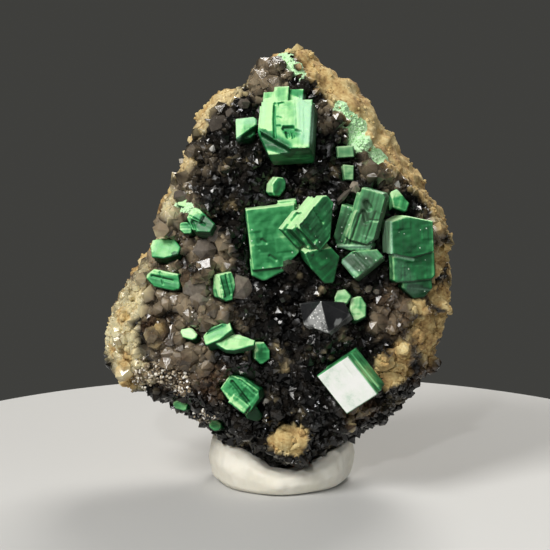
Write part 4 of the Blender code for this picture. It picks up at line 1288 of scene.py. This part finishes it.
class SPECIMEN_OT_druse(bpy.types.Operator):
    """Small quartz crystals, rock grains and mint powder spread over the rock"""
    bl_idname = "specimen.druse"
    bl_label = "Druse"

    def execute(self, context):
        """Spread crystals by the zones of the rock."""
        sizes = context.scene.specimen_sizes
        points, normals, faces = rock_shape(sizes.rock_grid)
        marks = zone_marks(points, normals)
        tan = np.maximum(marks["tan_rock"], marks["mint_powder"])
        low = ease(points[:, 2], 1.5, 2.3)
        bare = 1.0 - ease(lump_rise(*picture_places(points)), 0.0, 0.1)
        bare *= 1.0 - 0.75 * ease(points[:, 0] - along(DRUSE_EDGE, points[:, 2]), 0.2, 0.8)
        tree = clear_tree()
        self.add_quartz(sizes, points, normals, faces, marks, (1.0 - 0.95 * tan) * low, tree)
        self.add_grains(
            "host_grains", sizes.grain_count, HOST_WIDTHS, HOST_SEED, points, normals, faces,
            marks["tan_rock"] * (1.0 - marks["mint_powder"]) ** 3 * bare * low, tree)
        self.add_grains(
            "mint_grains", sizes.powder_count, MINT_WIDTHS, MINT_SEED, points, normals, faces,
            marks["mint_powder"] ** 2 * low, tree)
        crumbs = ease(spot_sum(CRUMB_ZONES, points), 0.2, 0.8) * ease(-points[:, 1], 0.5, 1.5)
        self.add_grains(
            "quartz_crumbs", sizes.crumb_count, CRUMB_WIDTHS, CRUMB_SEED,
            points + CRUMB_RISE * normals, normals, faces, crumbs, tree)
        return {"FINISHED"}

    def add_quartz(self, sizes, points, normals, faces, marks, weights, tree):
        """Quartz crystals in a dark heap and a clear grey heap."""
        places, corners = spread(points, faces, weights, sizes.quartz_count, QUARTZ_SEED)
        heaps = {"quartz_dark": Heap(), "quartz_grey": Heap()}
        sight = picture_ray(PICTURE / 2, PICTURE / 2)[1]
        clusters = rough(places, 0.8, 13.0)
        for index, (place, corner, cluster) in enumerate(zip(places, corners, clusters)):
            chance = random.Random(index)
            foot = Vector(place)
            grey = max(marks["grey_quartz"][corner], marks["pale_quartz"][corner])
            tan = marks["tan_rock"][corner]
            width = sizes.quartz_width / MM * chance.uniform(0.5, 1.55) ** 1.4
            aside = 1.0 - float(ease(-normals[corner][1], 0.0, 0.6))
            width *= 1.0 + grey * (0.6 + 1.8 * cluster) - 0.45 * tan
            width *= (1.0 - 0.35 * marks["pale_quartz"][corner]) * (1.0 - 0.5 * aside)
            width = min(width, QUARTZ_WIDEST - 0.9 * aside)
            lean = Vector([chance.uniform(-1, 1) for _ in range(3)]) * (0.5 - 0.25 * aside)
            axis = (Vector(normals[corner]) + lean + Vector((0, 0, 0.15))).normalized()
            body = width * chance.uniform(0.0, 0.45) * (1.0 - 0.8 * aside)
            tip = width * chance.uniform(0.35, 0.7) * (1.0 - max(0.4 * grey, 0.65 * aside))
            if tree.find_nearest(foot)[3] < 0.3 * width:
                continue
            top = foot + axis * (body + tip)
            starts = (foot, top, foot + axis * body)
            if any(tree.ray_cast(start, sight, SIGHT_REACH)[0] for start in starts):
                continue
            if tree.ray_cast(foot, axis, body + tip)[0]:
                continue
            heap = heaps["quartz_grey" if grey > 0.45 and tan < 0.5 else "quartz_dark"]
            shape = quartz_point(foot, axis, width, body, tip, chance)
            heap.add(shape, QUARTZ_FACES, chance.random(), QUARTZ_RISES)
        clear = rock_finish(
            "grey_quartz_crystal", 0.1, Transmission_Weight=0.2, IOR=1.54, Subsurface_Weight=0.3,
            Subsurface_Radius=(1.0, 0.8, 0.6), Subsurface_Scale=0.0004)
        heap_piece("quartz_grey", heaps["quartz_grey"], clear)
        dark = rock_finish("dark_quartz_crystal", 0.1)
        heap_piece("quartz_dark", heaps["quartz_dark"], dark)

    def add_grains(self, name, count, span, seed, points, normals, faces, weights, tree):
        """Rounded grains where the weights are high."""
        places, corners = spread(points, faces, weights + 1e-9, count, seed)
        heap = Heap()
        for index, (place, corner) in enumerate(zip(places, corners)):
            chance = random.Random(f"{name} {index}")
            if weights[corner] < LEAST_WEIGHT:
                continue
            foot = Vector(place)
            size = chance.uniform(*span)
            if tree.find_nearest(foot)[3] < size:
                continue
            axis = Vector(normals[corner]).normalized()
            shape = grain_body(chance, foot, axis, size)
            heap.add(shape, GRAIN_FACES, chance.random(), [0.5] * len(shape))
        finish = crumb_finish() if name == "quartz_crumbs" else rock_finish(name, 0.6)
        heap_piece(name, heap, finish)


class SPECIMEN_OT_quartz_points(bpy.types.Operator):
    """The great quartz pyramid and the quartz crystals that stand out"""
    bl_idname = "specimen.quartz_points"
    bl_label = "Quartz points"

    def execute(self, context):
        """Make the pyramid and the single crystals."""
        chance = random.Random(ACCENT_SEED)
        points, _, faces = rock_shape(context.scene.specimen_sizes.rock_grid)
        rock = BVHTree.FromPolygons([Vector(point) for point in points], faces)
        heap = Heap()
        for x, y, width, length, right, up, pale in ACCENTS:
            foot = None
            for step in range(OUTLINE_SEARCH):
                inward = step if x < PICTURE / 2 else -step
                foot, normal, _, _ = rock.ray_cast(*picture_ray(x + inward, y))
                if foot:
                    break
            if foot is None:
                raise RuntimeError("a single quartz crystal misses the rock")
            axis = (Vector((right, -0.7, up)) + normal * 0.5).normalized()
            body = length * 0.45
            shape = quartz_point(foot, axis, width, body, length * 0.55, chance)
            heap.add(shape, QUARTZ_FACES, pale, QUARTZ_RISES)
        make_piece(
            "quartz_accents", heap.points, heap.faces, self.accent_finish(),
            marks={"shade": heap.shades}, smooth=False)
        self.add_pyramid()
        return {"FINISHED"}

    def accent_finish(self):
        """Quartz from nearly clear and dark to milky white."""
        finish = Finish("single_quartz", Transmission_Weight=0.35, IOR=1.54)
        fine = finish.grain(4.0)
        color = finish.ramp(finish.mark("shade") + (fine - 0.5) * 0.3, *ACCENT_STOPS)
        finish.put("Base Color", color)
        finish.put("Roughness", 0.08 + fine * 0.15)
        finish.bump(fine, 0.15, 0.03)
        return finish.material

    def add_pyramid(self):
        """Six-sided pyramid with fine steps across its faces."""
        chance = random.Random(PYRAMID_SEED)
        levels = [(-0.3, 1.0), (PYRAMID_BODY - 0.04, 1.0), (PYRAMID_BODY, PYRAMID_SHOULDER)]
        for step in range(1, PYRAMID_STEPS + 1):
            share = step / PYRAMID_STEPS
            ledge = chance.uniform(0.0, PYRAMID_LEDGE) * (share < 1)
            levels.append((
                PYRAMID_BODY + PYRAMID_TIP * share,
                PYRAMID_SHOULDER - share * PYRAMID_TAPER - ledge))
        bm = bmesh.new()
        rings = []
        for height, share in levels:
            corners = pyramid_ring(share, height)
            ring = []
            for corner, after in zip(corners, corners[1:] + corners[:1]):
                ring += [corner.lerp(after, part / PYRAMID_PARTS) for part in range(PYRAMID_PARTS)]
            rings.append(ring)
        add_skin(bm, rings)
        bm.verts.index_update()
        points = np.array([tuple(vert.co) for vert in bm.verts])
        faces = [tuple(vert.index for vert in face.verts) for face in bm.faces]
        bm.free()
        corners = pyramid_ring(1.0, PYRAMID_BODY)
        middles = [(corner + after) / 2 for corner, after in zip(corners, corners[1:] + corners[:1])]
        px, py = picture_places(np.array(middles))
        dusty_reflecting_side = int(np.argmin(np.hypot(px - DUSTY_REFLECTING_AT[0], py - DUSTY_REFLECTING_AT[1])))
        # The side nearest to that place gets white dust and a painted reflection
        around = np.arange(len(points)) % (6 * PYRAMID_PARTS)
        dust = (around // PYRAMID_PARTS == dusty_reflecting_side).astype(float)
        make_piece(
            "quartz_pyramid", points, faces, self.pyramid_finish(),
            marks={"dust": dust}, smooth=False)

    def pyramid_finish(self):
        """Black quartz, with one face dusted white and painted pale as a painted reflection of the light,
        and painted highlights on its edges.
        """
        finish = Finish("black_quartz_pyramid", IOR=1.54, Coat_Weight=0.25, Coat_Roughness=0.04)
        spots = {"Vector": finish.place, "Scale": 5.5 / MM}
        dots = finish.add("ShaderNodeTexVoronoi", {"feature": "F1"}, spots, "Distance") < 0.3
        # Dust and painted reflection: one side painted grey-white, with white specks
        dusty_and_reflecting = finish.mark("dust") * finish.span(finish.grain(1.8), 0.3, 0.5)
        dark = finish.blend(finish.grain(0.8), PYRAMID_SHADE, PYRAMID_LIGHT)
        # Painted highlight: the pyramid's sharp edges are painted paler
        edge = finish.span(finish.add("ShaderNodeNewGeometry", {}, {}, "Pointiness"), 0.52, 0.6)
        dark = finish.blend(edge * 0.6, dark, PYRAMID_EDGE_HIGHLIGHT)
        dark = finish.blend(dusty_and_reflecting * 0.7, dark, PYRAMID_DUST_AND_REFLECTION)
        finish.put("Base Color", finish.blend(dots * dusty_and_reflecting, dark, PYRAMID_SPARKLE))
        finish.put("Roughness", 0.12 + dusty_and_reflecting * 0.3)
        finish.bump(finish.grain(6.0), 0.2, 0.02)
        return finish.material


class SPECIMEN_OT_crystals(bpy.types.Operator):
    """Layered torbernite crystals, one piece for each crystal of the CAD model"""
    bl_idname = "specimen.crystals"
    bl_label = "Torbernite"

    def execute(self, context):
        """Make every green crystal."""
        for name, frames in CRYSTALS.items():
            self.make_crystal(name, frames)
        return {"FINISHED"}

    def make_crystal(self, name, frames):
        """One crystal: its lattices remeshed, terraced and striated."""
        chance = random.Random(seed_of(name))
        parts = []
        all_faces = []
        start = 0
        for at, turn, blocks in frames:
            bm = bmesh.new()
            for block in blocks:
                add_growth(bm, block, chance)
            bmesh.ops.triangulate(bm, faces=bm.faces[:])
            mesh = bpy.data.meshes.new("lattice")
            bm.to_mesh(mesh)
            bm.free()
            points, normals, faces = remeshed(mesh, CRYSTAL_VOXEL)
            front = ease(normals[:, 2], 0.85, 0.97) * ease(points[:, 2], -0.35, -0.2)
            # Nearness to the tablet's edge, for the painted edge highlight
            glow = self.painted_edge_highlight(points, blocks)
            points = points + normals * self.relief(name, points, normals, chance)[:, None]
            place = np.array(frame_matrix(at, turn))
            points = np.stack([toward(points, row) for row in place[:3]], axis=1) + place[:3, 3]
            normals = np.stack([toward(normals, row) for row in place[:3]], axis=1)
            parts.append((points, normals, front, glow))
            all_faces += [tuple(start + corner for corner in face) for face in faces]
            start += len(points)
        points, normals, fronts, edge_highlights = (np.concatenate(part) for part in zip(*parts))
        points, tint, frost = self.carve(name, points, normals)
        if name == "torbernite_pearly":
            material = pearly_finish()
        else:
            material = crystal_finish(
                name, CRYSTAL_SHIFT.get(name, 0.0), CRYSTAL_DULLNESS.get(name, 0.0),
                name in SPECKLED)
        make_piece(
            name + "_crystal", points, all_faces, material, stands_for=(name,),
            marks={"tint": tint, "frost": frost, "face": fronts, "glow": edge_highlights})

    def painted_edge_highlight(self, points, blocks):
        """How near each point of the main faces is to the edge of its tablet, for the painted highlight
        along the tablets' edges.
        """
        x, y, z = points.T
        glow = np.full(len(points), 0.4)
        for across, up, face, width, height, _thick, _cuts in blocks:
            inside = np.minimum(width / 2 - np.abs(x - across), height / 2 - np.abs(y - up))
            on_face = (np.abs(z - face) < 0.12) & (inside > -0.02)
            glow = np.where(on_face, 1.0 - ease(inside, 0.05, 0.5), glow)
        return glow

    def relief(self, name, points, normals, chance):
        """Growth plates and striae of the main faces, layers of the side faces."""
        x, y, z = points.T
        front = ease(np.abs(normals[:, 2]), 0.6, 0.9)
        low = points.min(axis=0)
        high = points.max(axis=0)
        plates = np.zeros(len(points))
        count = int(4 + 1.6 * (high[0] - low[0]) * (high[1] - low[1]))
        flat = name == "torbernite_pearly"
        for _ in range(min(count, MOST_PLATES)):
            mid_x = chance.uniform(low[0], high[0])
            mid_y = chance.uniform(low[1], high[1])
            half_x = chance.uniform(0.2, 0.9)
            half_y = chance.uniform(0.2, 0.9)
            rise = chance.uniform(-0.02, 0.02) * (PEARLY_FLATNESS if flat else 1.0)
            inside = np.minimum(half_x - np.abs(x - mid_x), half_y - np.abs(y - mid_y))
            plates += rise * ease(inside, 0.0, 0.09)
        lift = front * np.clip(plates, -0.05, 0.045)
        direction, depth = STRIAE.get(name, (0, 0.0))
        grid = np.arange(-STRIA_REACH, STRIA_REACH, STRIA_PITCH)
        ridges = [chance.uniform(-1, 1) for _ in grid]
        lift += front * depth * np.interp(x if direction == 0 else y, grid, ridges)
        layers = [chance.uniform(-1, 0.4) for _ in grid]
        lift += (1.0 - front) * LAYER_RELIEF * np.interp(z, grid, layers)
        lift += (0.006 if flat else 0.022) * rough(points, 2.6, chance.uniform(0, 50))
        return lift

    def carve(self, name, points, normals):
        """Cut the grooves: the points, the marks of colour that are partly own tone and partly painted
        light and shade, and the marks of painted sheen.
        """
        px, py = picture_places(points)
        facing = ease(-toward(normals, camera_axes()[3]), 0.1, 0.35)
        depth = line_marks(px, py, GROOVES.get(name, ()), 0.5, 1.3)
        points = points - normals * (depth * facing)[:, None]
        light_and_tone_marks = [
            line_marks(px, py, table.get(name, ()), 0.6, 1.4) * facing for table in (STROKES, PAINTED_SHEEN)]
        return points, *light_and_tone_marks


class SPECIMEN_OT_putty(bpy.types.Operator):
    """Foot of white putty, pressed by fingers"""
    bl_idname = "specimen.putty"
    bl_label = "Putty"

    def execute(self, context):
        """Make the putty's soft skin from the CAD model's putty."""
        points, normals, faces = remeshed(node_mesh("putty"), PUTTY_GRID)
        lift = 0.16 * rough(points, 0.55, 8.0) + 0.05 * rough(points, 2.0, 3.0)
        lift *= ease(points[:, 2], 0.1, 0.7)
        points = points + normals * lift[:, None]
        make_piece("putty_foot", points, faces, putty_finish(), stands_for=("putty",))
        return {"FINISHED"}


class SPECIMEN_OT_stage(bpy.types.Operator):
    """Pale floor, soft studio lights and the camera"""
    bl_idname = "specimen.stage"
    bl_label = "Stage"

    def execute(self, context):
        """Make the floor, the lights and the camera."""
        scene = context.scene
        scene.view_settings.view_transform = "Standard"
        self.add_floor(scene)
        for light in LIGHTS:
            self.add_light(*light)
        camera_data = bpy.data.cameras.new("camera")
        camera_data.lens = CAMERA_LENS
        camera_data.sensor_width = SENSOR
        camera_data.clip_start = CLIP_START
        camera_data.clip_end = CLIP_END
        camera = bpy.data.objects.new("camera", camera_data)
        place, _, _, forward = camera_axes()
        camera.location = Vector(place) * MM
        camera.rotation_euler = Vector(forward).to_track_quat("-Z", "Y").to_euler()
        scene.collection.objects.link(camera)
        scene.camera = camera
        return {"FINISHED"}

    def add_floor(self, scene):
        """Round pale floor under the specimen, and the dim backdrop."""
        bm = bmesh.new()
        bmesh.ops.create_circle(
            bm, cap_ends=True, radius=scene.specimen_sizes.floor_radius, segments=128)
        mesh = bpy.data.meshes.new("floor")
        bm.to_mesh(mesh)
        bm.free()
        finish = Finish("floor_paint", Roughness=0.6)
        finish.put("Base Color", tone("floor"))
        mesh.materials.append(finish.material)
        floor = bpy.data.objects.new("floor", mesh)
        scene.collection.objects.link(floor)
        world = bpy.data.worlds.new("backdrop")
        world.use_nodes = True
        world.node_tree.nodes["Background"].inputs["Color"].default_value = (*tone("backdrop"), 1.0)
        scene.world = world

    def add_light(self, name, place, size, power, color):
        """Square soft light that points at the specimen's middle."""
        data = bpy.data.lights.new(name, "AREA")
        data.size = size
        data.energy = power
        data.color = color
        light = bpy.data.objects.new(name, data)
        light.location = place
        toward = Vector(CAMERA_TARGET) * MM - Vector(place)
        light.rotation_euler = toward.to_track_quat("-Z", "Y").to_euler()
        bpy.context.scene.collection.objects.link(light)


class SPECIMEN_PT_panel(bpy.types.Panel):
    """The specimen's operators, sizes and colours"""
    bl_idname = "SPECIMEN_PT_panel"
    bl_label = "Torbernite specimen"
    bl_space_type = "VIEW_3D"
    bl_region_type = "UI"
    bl_category = "Specimen"

    def draw(self, context):
        """List the operators, then the sizes and colours."""
        for operator in OPERATORS:
            self.layout.operator(operator.bl_idname)
        for group in (context.scene.specimen_sizes, context.scene.specimen_colors):
            for name in group.bl_rna.properties.keys():
                if name not in ("rna_type", "name"):
                    self.layout.prop(group, name)


OPERATORS = (
    SPECIMEN_OT_rock, SPECIMEN_OT_druse, SPECIMEN_OT_quartz_points,
    SPECIMEN_OT_crystals, SPECIMEN_OT_putty, SPECIMEN_OT_stage,
)
CLASSES = (SpecimenSizes, SpecimenColors, *OPERATORS, SPECIMEN_PT_panel)


def register():
    """Register the classes and the scene's settings."""
    for kind in CLASSES:
        bpy.utils.register_class(kind)
    bpy.types.Scene.specimen_sizes = bpy.props.PointerProperty(type=SpecimenSizes)
    bpy.types.Scene.specimen_colors = bpy.props.PointerProperty(type=SpecimenColors)


def unregister():
    """Take the settings and the classes out again."""
    del bpy.types.Scene.specimen_colors
    del bpy.types.Scene.specimen_sizes
    for kind in reversed(CLASSES):
        bpy.utils.unregister_class(kind)


def main():
    """Dress the specimen and set the stage."""
    register()
    bpy.ops.specimen.rock()
    bpy.ops.specimen.druse()
    bpy.ops.specimen.quartz_points()
    bpy.ops.specimen.crystals()
    bpy.ops.specimen.putty()
    bpy.ops.specimen.stage()


if __name__ == "__main__":
    main()
